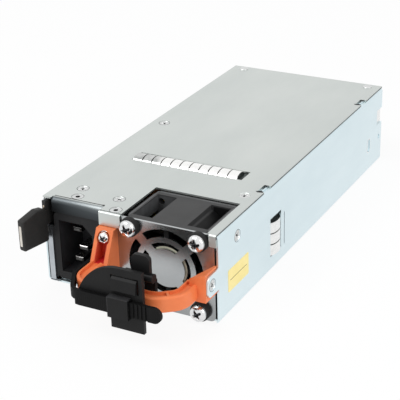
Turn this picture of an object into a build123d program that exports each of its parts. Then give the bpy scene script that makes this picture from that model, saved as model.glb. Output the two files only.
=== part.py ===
from build123d import *
import os
from math import atan2, cos, degrees, hypot, pi, radians, sin, sqrt

os.makedirs("parts", exist_ok=True)

# Hot swap server power supply.
# Sizes in millimetres. X runs across the front, Y runs into the depth, Z is up.
# The origin is the middle of the front panel's lower edge, in the plane of the panel's face.

# Case
case_w = 84.0
case_h = 40.0
case_d = 186.0
sheet = 0.8
bend_r = 1.6
flange_w = 11.0
gap = 0.3
cover_inset = 0.4

# Fan
fan_depth = 28.0
fan_screw_inset = 3.25
fan_wall = 1.3
fan_side_gap = 4.1
fan_lift = 0.2
fan_flange_t = 3.4
fan_pad_w = 16.0
fan_rail_t = 1.8
fan_rail_h = 7.0
fan_screw_r = 1.5
fan_base_t = 4.0
fan_strut_w = 2.2
tube_r = 3.2
tube_bore_r = 2.5
hub_r = 9.6
hub_wall = 1.2
blade_count = 7
blade_t = 1.0
blade_chord = 19.0
blade_pitch_root = 48.0
blade_pitch_tip = 62.0
tip_gap = 0.5
shaft_r = 1.0
run_fit = 0.03
bearing_l = 3.0
stator_r = 6.6
magnet_t = 1.0
driver_t = 0.8

# Finger guard stamped in the front panel
panel_t = 1.0
guard_margin = 0.5
guard_outer_slot = 3.4
guard_slot = 2.8
guard_ring = 2.4
guard_spoke_w = 4.2
grommet_r = 4.2
grommet_t = 2.4
grommet_neck_r = 2.6
screw_head_r = 3.6
screw_head_h = 2.2
screw_cross_w = 0.9
screw_cross_l = 4.2
screw_cross_d = 1.2

# Mains inlet, the pattern turned on end
recess_y = 2.2
inlet_inset = 0.4
inlet_flange_t = 2.0
inlet_flange_low = 2.0
inlet_lip_gap = 0.2
inlet_rim = 3.55
inlet_edge_gap = 4.0
inlet_margin = 2.4
inlet_w = 16.4
inlet_chamfer = 4.5
inlet_depth = 17.0
inlet_wall = 1.8
inlet_back_t = 3.0
pin_w = 4.0
pin_t = 2.0
pin_end_gap = 5.1
earth_offset = 4.0
pin_side = 6.2
pin_set_back = 3.9
earth_lead = 2.0
terminal_l = 7.0
wire_r = 1.2
wire_bend_r = 2.5
wire_step = 5.0

# Cover details
lip_r = 2.4
lip_drop = 6.5
flap_gap = 0.1
flap_drop = 6.1
flap_w = 10.1
fan_flap_gap = 1.3
cover_strip_w = 4.1
corner_flap_w = 3.2
corner_flap_drop = 5.5
window_end_gap = 0.4
side_flange_front = 10.0
side_flange_l = 15.0
side_flange_drop = 11.0
edge_notch_l = 7.0
edge_notch_w = 3.0
edge_notch_front = 47.0
edge_notch_rear = 26.0
lug_gap = 0.8
csk_r = 2.6
csk_fit = 0.1
cover_screw_r = 1.8
cover_screw_l = 5.0
screw_hole_fit = 0.1
rivet_r = 1.6
bracket_in = 3.7
bracket_back = 20.0
bracket_screw_in = 3.5
bracket_screw_back = 4.5
spare_hole_in = 5.9
spare_hole_back = 3.0
tongue_screw_in = 1.9
tongue_screw_y = 12.6
tongue_hole_in = 6.0
left_flange_front = 22.0
flange_screw_in = 6.5
left_screw_y = 96.0
right_screw_y = 37.6
rivet_in = 7.0
rivet_back = 3.5
side_screw_y = 17.3
side_screw_drop = 7.3

rear_notch_l = 7.0
rear_notch_low = 21.0
rear_notch_h = 8.0
oblong_back = 18.0
oblong_z = 14.0
oblong_l = 7.0
oblong_w = 4.0
dimple_back = 3.6
dimple_r = 1.2

# Contact finger strips
finger_t = 0.3
finger_pitch = 4.7
finger_slit = 0.5
finger_rise = 1.2
finger_seat = 0.3
finger_facets = 10
top_finger_count = 11
top_strip_x = -1.0
top_strip_y = 51.0
top_strip_w = 9.0
side_finger_count = 3
side_strip_y = 49.0
side_strip_w = 11.0
side_strip_z = 7.0
side_finger_pitch = 5.2
side_window_spare = 2.4
rail_w = 3.5

# Pull handle
bow_reach = 26.5
bow_bar_w = 6.0
bow_low = 14.5
bow_h = 7.0
bow_left_r = 6.0
bow_front_r = 11.0
bow_right_r = 7.0
bow_turn_w = 8.1
bow_turn_l = 6.4
bow_leg_in = 6.9
bow_leg_end = 6.1
bow_end_wall = 1.9
bow_edge_r = 1.0
bow_rim = 1.3
bow_groove_d = 1.2
bow_rib_w = 1.0
bow_rib_h = 0.9
foot_w = 8.2
foot_fan_gap = 3.1
foot_flap_gap = 0.3
foot_top_l = 3.2
foot_low_l = 9.5
foot_web = 2.2
foot_rib_w = 1.9
foot_channel_low = 20.5
foot_bar_h = 1.4
side_foot_w = 7.1
side_foot_l = 9.5
side_foot_low = 14.0
side_foot_shoulder = 23.6
side_foot_high = 26.4
tab_l = 9.0
tab_low = 15.7
tab_high = 25.1
tab_r = 2.5
tab_screw_y = 5.3
tab_fit = 0.1
handle_screw_r = 1.3
handle_screw_head_r = 2.5
handle_screw_head_h = 2.2
handle_screw_cross_l = 3.0
side_screw_l = 5.0
handle_screw_drop = 3.5
washer_r = 2.7
washer_t = 0.7
nut_r = 3.0
nut_t = 2.4

# Release latch
latch_t = 0.8
latch_axis_y = 48.0
latch_tail = 4.0
latch_top_gap = 2.4
latch_h = 8.0
latch_bend_y = 3.0
latch_reach = 12.0
latch_splay = 3.4
latch_wall_gap = 1.0
latch_core_h = 10.0
latch_core_drop = 6.0
grip_t = 3.0
grip_drop = 8.0
grip_peak = 1.6
grip_peak_at = 5.0
grip_h = 14.0
grip_edge_r = 0.9
grip_root_y = 8.0
grip_root_w = 2.0
grip_root_lap = 1.0
grip_root_rise = 2.0
hook_front = 14.0
hook_l = 6.0
hook_out = 1.0
hook_nose = 1.0
hook_h = 5.0
rivet_spacing = 4.0
latch_rivet_r = 1.2
latch_rivet_head_r = 2.0
latch_rivet_head_t = 0.8

# Cord clamp on the handle bow
clamp_t = 1.7
clamp_stand = 1.8
clamp_clear = 0.5
clamp_left = -5.5
clamp_right = 24.7
clamp_arc_r = 19.5
clamp_low = 12.8
clamp_tail_low = 6.8
clamp_tail_left = 9.8
shelf_t = 2.2
shelf_left = -1.0
shelf_right = 19.0
hook_wall = 1.6
hook_drop = 4.5
buckle_w = 9.3
buckle_left = 10.2
buckle_wall = 0.9
strap_t = 1.6
strap_w = 6.6
strap_low = 14.2
strap_tip_x = 33.5
strap_out = 1.15
strap_step = 2.2
strap_corner_y = 19.4
strap_corner_in = 5.2
strap_bend_r = 5.0
strap_rib_pitch = 1.8
strap_rib_d = 0.4
anchor_l = 4.5
anchor_h = 4.0
pad_left = 11.2
pad_w = 11.2
pad_low = 23.6
pad_h = 6.2
pad_slit = 0.6
pad_rise = 0.8
pivot_y = 24.0
pivot_z = 29.0
pin_r = 1.0
knuckle_r = 1.9
ear_left = 14.0
ear_w = 2.6
knuckle_w = 9.7
tab_inset = 0.4
finger_tab_w = 8.0
finger_tab_t = 2.0
finger_tab_h = 9.5
finger_tab_r = 2.2
lever_hook_left = 18.6
lever_hook_w = 5.0
lever_hook_t = 1.8
lever_hook_low = 17.0
lever_clear = 0.7

# Rear panel
vent_r = 2.5
vent_pitch = 5.6
vent_low = 13.0
vent_top_gap = 2.4
vent_side = 5.0
rear_flange_l = 8.0
tongue_slot_gap = 1.0

# Boards and fixings
board_t = 1.6
board_lift = 5.6
board_front = 36.0
board_back_gap = 3.0
board_side_gap = 1.5
tongue_l = 10.0
tongue_inset = 9.0
contact_margin = 2.0
contact_pitch = 4.6
contact_w = 3.4
contact_l = 7.0
contact_t = 0.1
standoff_r = 3.0
standoff_bore_r = 1.6
board_screw_r = 1.5
board_screw_head_r = 2.8
board_screw_head_h = 1.8
board_screw_l = 4.0
standoff_inset = 4.5
standoff_back = 12.0
sheet_film = 0.3

# Components on the board
lane_gap = 4.5
side_gap = 1.7
bulk_count = 2
bulk_top_gap = 5.4
bulk_front = 62.0
bulk_back_gap = 28.5
bulk_gap = 1.5
core_w = 22.0
core_l = 30.0
core_leg = 7.0
core_top_gap = 6.4
core_side_gap = 8.7
choke_r = 12.0
choke_bore_r = 5.5
choke_w = 13.0
filter_r = 8.0
filter_bore_r = 3.8
filter_w = 9.0
filter_y = 64.0
filter_pitch = 14.0
xcap_w = 8.0
xcap_l = 18.0
xcap_h = 15.0
xcap_fuse_gap = 8.0
xcap_y = 50.0
xcap_pitch = 9.5
moulded_edge_r = 1.0
sink_t = 2.0
sink_fins = 2
sink_top_gap = 4.4
sink_fet_gap = 0.4
sink_back_gap = 28.0
fet_top_gap = 10.4
sink_l = 34.0
fet_w = 15.0
fet_t = 4.6
fet_pitch = 18.0
outcap_r = 4.0
outcap_h = 14.0
outcap_pitch = 9.0
outcap_rows = 2
outcap_cols = 3
outcap_back_gap = 18.0
standby_l = 14.0
standby_h = 16.0
standby_y = 91.0
relay_w = 10.0
relay_l = 20.0
relay_h = 15.0
relay_side_gap = 14.0
relay_y = 50.0
bridge_t = 4.0
bridge_h = 18.0
bridge_y = 71.0
fuse_r = 2.6
fuse_l = 20.0
fuse_wire_gap = 8.6
fuse_y = 50.0
busbar_t = 1.6
busbar_w = 8.0
busbar_l = 22.0
busbar_pitch = 9.0
busbar_side_gap = 17.7
busbar_back_gap = 16.0
card_t = 1.2
card_l = 34.0
card_top_gap = 6.4
card_side_gap = 1.3
card_back_gap = 36.0

# Places that follow from the sizes above
wall_x = case_w / 2
inner_x = wall_x - sheet
lid_z = case_h - sheet
flange_z = lid_z - sheet
fan_size = flange_z - 2 * fan_lift
fan_pitch = fan_size - 2 * fan_screw_inset
cover_x = wall_x - cover_inset
fan_x = inner_x - fan_side_gap - fan_size / 2
fan_z = sheet + fan_lift + fan_size / 2
fan_y = panel_t
fan_left = fan_x - fan_size / 2
fan_back = fan_y + fan_depth
fan_bore_r = fan_size / 2 - fan_wall
guard_out_r = fan_bore_r - guard_margin
guard_ring_r = guard_out_r - guard_outer_slot
guard_inner_r = guard_ring_r - guard_ring
guard_disc_r = guard_inner_r - guard_slot
panel_right = inner_x - sheet
foot_right = fan_left - foot_fan_gap
foot_left = foot_right - foot_w
jog_x = foot_left - cover_inset
inlet_face_y = recess_y + inlet_inset
seat_y = inlet_face_y + inlet_flange_t
inlet_left = -inner_x + inlet_edge_gap
inlet_right = jog_x - gap
inlet_flange_high = case_h - lip_drop - inlet_lip_gap
inlet_h = inlet_flange_high - inlet_flange_low - 2 * inlet_rim
pin_spacing = inlet_h - 2 * pin_end_gap
cavity_left = inlet_left + inlet_margin
cavity_right = cavity_left + inlet_w
inlet_z = (inlet_flange_low + inlet_flange_high) / 2
inlet_body_back = inlet_face_y + inlet_depth + inlet_back_t
pin_x = cavity_left + pin_side
earth_x = pin_x + earth_offset
terminal_y = inlet_body_back + terminal_l
lip_left = inlet_left - gap
bracket_left = inlet_left + bracket_in
lip_right = jog_x
flap_right = fan_left - fan_flap_gap
flap_left = flap_right - flap_w
strip_left = cover_x - cover_strip_w
flap_r = sheet + flap_gap
arm_x = foot_left + cover_inset + bow_bar_w / 2
bow_right_x = inner_x - bow_leg_in
bow_y = -bow_reach + bow_bar_w / 2
bow_turn_x = bow_right_x - bow_turn_w
bow_turn_y = bow_y + bow_turn_l
bow_turn = degrees(atan2(bow_turn_l, bow_turn_w))
side_foot_right = inner_x - tab_fit
side_foot_left = side_foot_right - side_foot_w
bow_top = bow_low + bow_h
foot_high = case_h - flap_drop - foot_flap_gap
foot_mid_x = (foot_left + foot_right) / 2
handle_screw_z = foot_high - handle_screw_drop
tab_screw_z = (tab_low + tab_high) / 2
side_screw_z = lid_z - side_screw_drop
latch_x = -inner_x + gap + latch_t / 2
latch_tip_x = latch_x - latch_splay
latch_low = flange_z - latch_top_gap - latch_h
latch_core_low = latch_low - latch_core_drop
grip_low = latch_low - grip_drop
grip_root_low = latch_low - grip_root_lap
grip_root_h = latch_h + grip_root_lap + grip_root_rise
latch_mid_z = latch_low + latch_h / 2
splay_y = recess_y - latch_wall_gap
splay_x = latch_x - latch_splay * (latch_bend_y - splay_y) / (latch_bend_y + latch_reach)
clamp_back_y = -bow_reach - clamp_stand
clamp_face_y = clamp_back_y - clamp_t
clamp_high = bow_low - clamp_clear + clamp_arc_r
strap_y = clamp_face_y - gap - strap_t / 2
strap_high = strap_low + strap_w
strap_loop_low = strap_low + strap_step
shelf_low = bow_top + gap
board_z = sheet + board_lift
board_top = board_z + board_t
board_back = case_d - panel_t - board_back_gap
board_x = inner_x - board_side_gap
vent_high = flange_z - vent_top_gap
edge_notch_back = case_d - edge_notch_rear
tongue_w = case_w - 2 * tongue_inset
contact_count = int((tongue_w - 2 * contact_margin) // contact_pitch)
board_room = flange_z - board_top
bulk_r = (board_room - bulk_top_gap) / 2
bulk_l = (board_back - bulk_back_gap - bulk_front - bulk_gap) / 2
bulk_x = board_x - bulk_r - side_gap
bulk_left = bulk_x - bulk_r
filter_x = -board_x + filter_r + side_gap
choke_x = -board_x + choke_r + side_gap
choke_y = filter_y + filter_pitch + filter_w / 2 + lane_gap + choke_w / 2
core_h = board_room - core_top_gap
core_x = -board_x + core_side_gap + core_w / 2
core_y = choke_y + choke_w / 2 + lane_gap + core_leg / 2 + core_l / 2
sink_h = board_room - sink_top_gap
fet_h = board_room - fet_top_gap
sink_x = bulk_left - sink_fet_gap - fet_t - sink_t
sink_y = board_back - sink_back_gap - sink_l / 2
choke_right = choke_x + choke_r
filter_right = filter_x + filter_r
standby_w = bulk_left - choke_right - 2 * lane_gap
standby_x = (bulk_left + choke_right) / 2
bridge_w = bulk_left - filter_right - 2 * lane_gap
bridge_x = (bulk_left + filter_right) / 2
fuse_x = earth_x + fuse_wire_gap
xcap_x = fuse_x + xcap_fuse_gap
relay_x = board_x - relay_side_gap
busbar_x = board_x - busbar_side_gap
busbar_y = board_back - busbar_back_gap
outcap_x = busbar_x - outcap_pitch * (outcap_cols + 1) / 2
outcap_y = board_back - outcap_back_gap
card_x = -board_x + card_side_gap
card_y = board_back - card_back_gap
card_h = board_room - card_top_gap
rising = (Align.CENTER, Align.CENTER, Align.MIN)
sinking = (Align.CENTER, Align.CENTER, Align.MAX)


def front(y):
    """Plane across the case at depth y: first axis X, second axis Z, facing the front."""
    return Plane.XZ.offset(-y)


def side(x):
    """Plane along the case at x: first axis Y, second axis Z, facing the right."""
    return Plane.YZ.offset(x)


def level(z):
    """Level plane at height z."""
    return Plane.XY.offset(z)


def span(a_low, a_high, b_low, b_high, mode=Mode.ADD):
    """Rectangle between two limits on each axis of the sketch."""
    with Locations(((a_low + a_high) / 2, (b_low + b_high) / 2)):
        Rectangle(a_high - a_low, b_high - b_low, mode=mode)


def block(x_low, x_high, y_low, y_high, z_low, z_high, mode=Mode.ADD):
    """Square block between two limits on each axis."""
    with Locations(((x_low + x_high) / 2, (y_low + y_high) / 2, (z_low + z_high) / 2)):
        Box(x_high - x_low, y_high - y_low, z_high - z_low, mode=mode)


def folded_edge(face_y, low_z, radius):
    """Profile of the cover's edge: level, then a round bend, then straight down."""
    bend_y = face_y + radius
    bend_z = case_h - radius
    with BuildLine() as outline:
        CenterArc((bend_y, bend_z), radius, 90, 90)
        Line((face_y, bend_z), (face_y, low_z))
        Line((face_y, low_z), (face_y + sheet, low_z))
        Line((face_y + sheet, low_z), (face_y + sheet, bend_z))
        CenterArc((bend_y, bend_z), radius - sheet, 90, 90)
        Line((bend_y, lid_z), (bend_y, case_h))
    make_face(outline.edges())


def save(piece, name):
    """Name a finished piece and write it."""
    piece.part.label = name
    export_step(piece.part, "parts/" + name + ".step")


# Screw places and unused screw holes on the cover
bracket_screws = [(bracket_left + bracket_screw_in, bracket_back - bracket_screw_back),
                  (foot_left + tongue_screw_in, tongue_screw_y)]
spare_holes = [(bracket_left + spare_hole_in, seat_y + spare_hole_back),
               (foot_left + tongue_hole_in, panel_t + cover_screw_r + 2 * screw_hole_fit)]
flange_screws = [(-wall_x + flange_screw_in, left_screw_y), (wall_x - flange_screw_in, right_screw_y)]
rear_rivets = [(-wall_x + rivet_in, case_d - rivet_back), (wall_x - rivet_in, case_d - rivet_back)]
right_flange_front = fan_back + bend_r

# Base tray: floor, walls and turned-in top flanges
with BuildPart() as base_tray:
    with BuildSketch(front(case_d)):
        with Locations((0, lid_z / 2)):
            RectangleRounded(case_w, lid_z, bend_r)
            RectangleRounded(case_w - 2 * sheet, lid_z - 2 * sheet, bend_r - sheet, mode=Mode.SUBTRACT)
        span(-wall_x + flange_w, wall_x - flange_w, lid_z / 2, lid_z, mode=Mode.SUBTRACT)
    extrude(amount=case_d)
    # front edge of the floor, behind the front panel
    block(jog_x - gap, panel_right + gap, 0, panel_t + gap, 0, 2 * sheet, mode=Mode.SUBTRACT)
    # front left corner stands back at the inlet
    block(-wall_x, jog_x - gap, 0, recess_y, 0, lid_z, mode=Mode.SUBTRACT)
    # top flanges stop short of the latch and the fan
    block(-inner_x, -wall_x + flange_w, 0, left_flange_front, lid_z - bend_r, lid_z, mode=Mode.SUBTRACT)
    block(wall_x - flange_w, inner_x, 0, right_flange_front, lid_z - bend_r, lid_z, mode=Mode.SUBTRACT)
    # turned-in front edge of the left wall
    block(-inner_x, inlet_left - gap - latch_t, recess_y, recess_y + sheet, sheet, grip_root_low - 2 * gap)
    # handle tab on the right wall
    with BuildSketch(side(inner_x)) as tab_sketch:
        span(-tab_l, bend_r, tab_low, tab_high)
        fillet(tab_sketch.vertices().group_by(Axis.X)[0], tab_r)
    extrude(amount=sheet)
    # windows in the right wall
    with BuildSketch(side(inner_x)):
        finger_high = side_strip_z + side_finger_count * side_finger_pitch
        span(side_strip_y, side_strip_y + side_strip_w, side_strip_z, finger_high + side_window_spare)
        with Locations((side_strip_y + side_strip_w + rail_w, (side_strip_z + finger_high) / 2)):
            Rectangle(finger_slit, finger_high - side_strip_z)
        span(case_d - rear_notch_l, case_d, rear_notch_low, rear_notch_low + rear_notch_h)
    extrude(amount=sheet, mode=Mode.SUBTRACT)
    # pressed oblong and dimple near the rear of the right wall
    with BuildSketch(side(wall_x)):
        with Locations((case_d - oblong_back, oblong_z)):
            SlotOverall(oblong_l, oblong_w, rotation=90)
        with Locations((case_d - dimple_back, oblong_z)):
            Circle(dimple_r)
    extrude(amount=-sheet / 2, mode=Mode.SUBTRACT)
    # latch opening and hook slot in the left wall
    with BuildSketch(side(-wall_x)):
        span(0, grip_root_y + gap, grip_root_low - gap, flange_z)
        span(hook_front - gap, hook_front + hook_l + gap, latch_mid_z - hook_h / 2 - gap,
             latch_mid_z + hook_h / 2 + gap)
        with Locations((latch_axis_y, latch_mid_z)):
            with GridLocations(0, rivet_spacing, 1, 2):
                Circle(latch_rivet_r)
    extrude(amount=sheet, mode=Mode.SUBTRACT)
    # countersunk holes for the handle's side screw and the cover's side screw
    with Locations(side(wall_x)):
        with Locations((-tab_screw_y, tab_screw_z), (side_screw_y, side_screw_z)):
            CounterSinkHole(cover_screw_r + screw_hole_fit, csk_r, depth=2 * sheet, counter_sink_angle=90)
    # tapped holes in the top flanges
    with Locations((0, 0, lid_z)):
        with Locations(*flange_screws, *rear_rivets):
            Hole(cover_screw_r + screw_hole_fit, depth=2 * sheet)
    # lugs that fill the cover's edge notches
    for notch_y in (edge_notch_front, edge_notch_back):
        block(wall_x - edge_notch_w + lug_gap, inner_x - sheet, notch_y - edge_notch_l / 2 + lug_gap,
              notch_y + edge_notch_l / 2 - lug_gap, flange_z, case_h - finger_t)
save(base_tray, "base_tray")

# Top cover: flat lid, rolled lip over the inlet, front flaps, fan window and finger slot
top_strip_l = top_finger_count * finger_pitch
with BuildPart() as top_cover:
    with BuildSketch(level(lid_z)):
        span(-cover_x, cover_x, recess_y + lip_r, case_d)
        span(-cover_x, lip_left, recess_y, recess_y + lip_r)
        span(flap_left, flap_right, 0, recess_y + lip_r)
        span(strip_left, cover_x, 0, recess_y + lip_r)
        span(flap_right, strip_left, 0, fan_back + window_end_gap, mode=Mode.SUBTRACT)
        span(top_strip_x - top_strip_l / 2 - gap, top_strip_x + top_strip_l / 2 + gap + finger_pitch / 2,
             top_strip_y, top_strip_y + top_strip_w, mode=Mode.SUBTRACT)
        for notch_y in (edge_notch_front, edge_notch_back):
            span(cover_x - edge_notch_w, cover_x, notch_y - edge_notch_l / 2, notch_y + edge_notch_l / 2,
                 mode=Mode.SUBTRACT)
    extrude(amount=sheet)
    with BuildSketch(side(lip_left)):
        folded_edge(recess_y, case_h - lip_drop, lip_r)
    extrude(amount=lip_right - lip_left)
    with BuildSketch(side(flap_left)):
        folded_edge(-sheet - flap_gap, case_h - flap_drop, flap_r)
    extrude(amount=flap_right - flap_left)
    with BuildSketch(side(cover_x - corner_flap_w)):
        folded_edge(-sheet - flap_gap, case_h - corner_flap_drop, flap_r)
    extrude(amount=corner_flap_w)
    # side flange behind the right wall, held by the side screw
    flange_x = inner_x - tab_fit
    block(flange_x - sheet, flange_x, side_flange_front, side_flange_front + side_flange_l,
          lid_z - side_flange_drop, lid_z)
    with Locations(side(flange_x)):
        with Locations((side_screw_y, side_screw_z)):
            Hole(cover_screw_r + screw_hole_fit, depth=2 * sheet)
    with Locations((0, 0, case_h)):
        with Locations(*bracket_screws, *spare_holes, *flange_screws):
            CounterSinkHole(cover_screw_r + screw_hole_fit, csk_r, depth=2 * sheet, counter_sink_angle=90)
        with Locations(*rear_rivets):
            Hole(cover_screw_r + screw_hole_fit, depth=2 * sheet)
save(top_cover, "top_cover")

# Front panel: ring guard on the fan side, jogged back to carry the inlet
with BuildPart() as front_panel:
    with BuildSketch(level(fan_lift)):
        with BuildLine():
            Polyline((panel_right, 0), (jog_x, 0), (jog_x, seat_y), (inlet_left, seat_y),
                     (inlet_left, seat_y + panel_t), (jog_x + panel_t, seat_y + panel_t),
                     (jog_x + panel_t, panel_t), (panel_right, panel_t), close=True)
        make_face()
    extrude(amount=lid_z - fan_lift)
    block(inlet_left, jog_x + panel_t, panel_t, seat_y + panel_t, 0, sheet, mode=Mode.SUBTRACT)
    fillet(front_panel.edges().filter_by(Axis.Y).group_by(Axis.Z)[0].sort_by(Axis.X)[-1], tab_r)
    # top flange under the cover and foot flange on the floor
    with BuildSketch(level(lid_z)):
        span(bracket_left, flap_right - gap, seat_y, bracket_back)
        span(jog_x, flap_right - gap, 0, seat_y)
    extrude(amount=-panel_t)
    block(jog_x + panel_t, flap_right - gap, panel_t, panel_t + rear_flange_l, sheet, sheet + panel_t)
    # ring guard
    with BuildSketch(front(panel_t)):
        with Locations((fan_x, fan_z)):
            Circle(guard_out_r)
            Circle(guard_ring_r, mode=Mode.SUBTRACT)
            Circle(guard_inner_r)
            Circle(guard_disc_r, mode=Mode.SUBTRACT)
            for spoke_angle in (45, -45):
                Rectangle(fan_size, guard_spoke_w, rotation=spoke_angle, mode=Mode.SUBTRACT)
    extrude(amount=panel_t, mode=Mode.SUBTRACT)
    with BuildSketch(front(panel_t)):
        with Locations((fan_x, fan_z)):
            with GridLocations(fan_pitch, fan_pitch, 2, 2):
                Circle(grommet_neck_r)
        with Locations((foot_mid_x, handle_screw_z)):
            Circle(handle_screw_r + screw_hole_fit)
    extrude(amount=panel_t, mode=Mode.SUBTRACT)
    # opening for the inlet's body
    with BuildSketch(front(seat_y + panel_t)):
        span(cavity_left - inlet_wall - gap, cavity_right + inlet_wall + gap,
             inlet_z - inlet_h / 2 - inlet_wall - gap, inlet_z + inlet_h / 2 + inlet_wall + gap)
    extrude(amount=panel_t, mode=Mode.SUBTRACT)
    with Locations((0, 0, lid_z)):
        with Locations(*bracket_screws, *spare_holes):
            Hole(cover_screw_r + screw_hole_fit, depth=2 * panel_t)
save(front_panel, "front_panel")

# Rear panel: vents over the connector opening, foot flange on the floor
with BuildPart() as rear_panel:
    with BuildSketch(front(case_d)) as rear_outline:
        span(-inner_x + gap, inner_x - gap, sheet, flange_z - gap)
        fillet(rear_outline.vertices(), bend_r)
        span(-tongue_w / 2 - tongue_slot_gap, tongue_w / 2 + tongue_slot_gap, board_z - tongue_slot_gap,
             board_top + tongue_slot_gap, mode=Mode.SUBTRACT)
        vent_cols = int((case_w - 2 * vent_side) // vent_pitch)
        vent_rows = int((vent_high - vent_low) // vent_pitch)
        with Locations((0, (vent_low + vent_high) / 2)):
            with GridLocations(vent_pitch, vent_pitch, vent_cols, vent_rows):
                RegularPolygon(vent_r, 6, mode=Mode.SUBTRACT)
    extrude(amount=panel_t)
    block(-inner_x + gap + bend_r, inner_x - gap - bend_r, case_d - panel_t - rear_flange_l, case_d - panel_t,
          sheet, 2 * sheet)
save(rear_panel, "rear_panel")

# Mains inlet housing and pins
with BuildPart() as ac_inlet:
    with BuildSketch(front(seat_y)) as inlet_flange:
        span(inlet_left, inlet_right, inlet_flange_low, inlet_flange_high)
        fillet(inlet_flange.vertices(), lip_r)
    extrude(amount=inlet_flange_t)
    with BuildSketch(front(inlet_body_back)):
        span(cavity_left - inlet_wall, cavity_right + inlet_wall,
             inlet_z - inlet_h / 2 - inlet_wall, inlet_z + inlet_h / 2 + inlet_wall)
    extrude(amount=inlet_body_back - seat_y)
    with BuildSketch(front(inlet_face_y + inlet_depth)) as cavity:
        span(cavity_left, cavity_right, inlet_z - inlet_h / 2, inlet_z + inlet_h / 2)
        chamfer(cavity.vertices().group_by(Axis.X)[-1], inlet_chamfer)
    extrude(amount=inlet_depth, mode=Mode.SUBTRACT)
    with BuildSketch(front(inlet_body_back)):
        with Locations((pin_x, inlet_z - pin_spacing / 2), (pin_x, inlet_z + pin_spacing / 2),
                       (earth_x, inlet_z)):
            Rectangle(pin_w, pin_t)
    extrude(amount=inlet_back_t, mode=Mode.SUBTRACT)
save(ac_inlet, "ac_inlet")

pin_places = [(pin_x, inlet_z - pin_spacing / 2, 0), (pin_x, inlet_z + pin_spacing / 2, 0),
              (earth_x, inlet_z, earth_lead)]
with BuildPart() as inlet_pins:
    for place_x, place_z, lead in pin_places:
        pin_tip_y = inlet_face_y + pin_set_back - lead
        with BuildSketch(front(terminal_y)):
            with Locations((place_x, place_z)):
                Rectangle(pin_w, pin_t)
        extrude(amount=terminal_y - pin_tip_y)
    tip_edges = inlet_pins.faces().filter_by(Axis.Y).sort_by(Axis.Y)[:3].edges()
    chamfer(tip_edges, pin_t / 4)
save(inlet_pins, "inlet_pins")

# Wires from the inlet's terminals down to the board
with BuildPart() as inlet_wires:
    for wire_index, (place_x, place_z, lead) in enumerate(pin_places):
        wire_y = board_front + wire_step * (wire_index + 1)
        with BuildLine() as route:
            FilletPolyline((place_x, terminal_y, place_z), (place_x, wire_y, place_z),
                           (place_x, wire_y, board_top), radius=wire_bend_r)
        with BuildSketch(front(terminal_y)):
            with Locations((place_x, place_z)):
                Circle(wire_r)
        sweep(path=route.wires()[0])
save(inlet_wires, "inlet_wires")

# Fan frame: square flanges, round duct, corner rails, struts and motor base at the outlet
base_end_y = fan_y + fan_base_t
with BuildPart() as fan_frame:
    for flange_end in (fan_y + fan_flange_t, fan_back):
        with BuildSketch(front(flange_end)):
            with Locations((fan_x, fan_z)):
                RectangleRounded(fan_size, fan_size, bend_r)
                Circle(fan_bore_r, mode=Mode.SUBTRACT)
                with GridLocations(fan_pitch, fan_pitch, 2, 2):
                    Circle(fan_screw_r + screw_hole_fit, mode=Mode.SUBTRACT)
        extrude(amount=fan_flange_t)
    with BuildSketch(front(fan_back - fan_flange_t)):
        with Locations((fan_x, fan_z)):
            Circle(fan_size / 2 - gap)
            Rectangle(fan_size, fan_pad_w)
            Rectangle(fan_pad_w, fan_size)
            with GridLocations(fan_size - fan_rail_t, fan_size - fan_rail_h, 2, 2):
                Rectangle(fan_rail_t, fan_rail_h)
            Circle(fan_bore_r, mode=Mode.SUBTRACT)
    extrude(amount=fan_depth - 2 * fan_flange_t)
    with BuildSketch(front(base_end_y)):
        with Locations((fan_x, fan_z)):
            Rectangle(2 * fan_bore_r + fan_wall, fan_strut_w)
            Rectangle(fan_strut_w, 2 * fan_bore_r + fan_wall)
            Circle(hub_r)
    extrude(amount=fan_base_t - gap)
    with BuildSketch(front(fan_back - fan_base_t - bearing_l)):
        with Locations((fan_x, fan_z)):
            Circle(tube_r)
            Circle(tube_bore_r, mode=Mode.SUBTRACT)
    extrude(amount=fan_depth - 2 * fan_base_t - bearing_l)
save(fan_frame, "fan_frame")

# Fan rotor: cup hub with twisted blades, shaft, magnet ring
hub_front_y = base_end_y + driver_t + 2 * gap
hub_back_y = fan_back - sheet
tube_end_y = fan_back - fan_base_t - bearing_l
blade_mid_y = (hub_front_y + hub_back_y) / 2
blade_tip_half = blade_chord / 2 * cos(radians(blade_pitch_tip)) + blade_t / 2
blade_tip_r = sqrt((fan_bore_r - tip_gap) ** 2 - blade_tip_half ** 2)
with BuildPart() as fan_impeller:
    with BuildSketch(front(hub_back_y)):
        with Locations((fan_x, fan_z)):
            Circle(hub_r)
    extrude(amount=hub_back_y - hub_front_y)
    chamfer(fan_impeller.edges().group_by(Axis.Y)[-1], hub_wall)
    with BuildSketch(front(hub_back_y - 2 * hub_wall)):
        with Locations((fan_x, fan_z)):
            Circle(hub_r - hub_wall)
            Circle(shaft_r, mode=Mode.SUBTRACT)
            Circle(tube_bore_r)
    extrude(amount=hub_back_y - hub_front_y - 2 * hub_wall, mode=Mode.SUBTRACT)
    for blade in range(blade_count):
        turn = radians(360 * blade / blade_count)
        outward = (cos(turn), 0, sin(turn))
        for reach, pitch in ((hub_r - hub_wall / 2, blade_pitch_root), (blade_tip_r, blade_pitch_tip)):
            foot = (fan_x + reach * outward[0], blade_mid_y, fan_z + reach * outward[2])
            with BuildSketch(Plane(origin=foot, x_dir=(0, 1, 0), z_dir=outward)):
                Rectangle(blade_chord, blade_t, rotation=90 - pitch)
        loft()
    with BuildSketch(front(hub_back_y)):
        with Locations((fan_x, fan_z)):
            Circle(shaft_r)
    extrude(amount=2 * hub_wall, mode=Mode.SUBTRACT)
save(fan_impeller, "fan_impeller")

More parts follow.
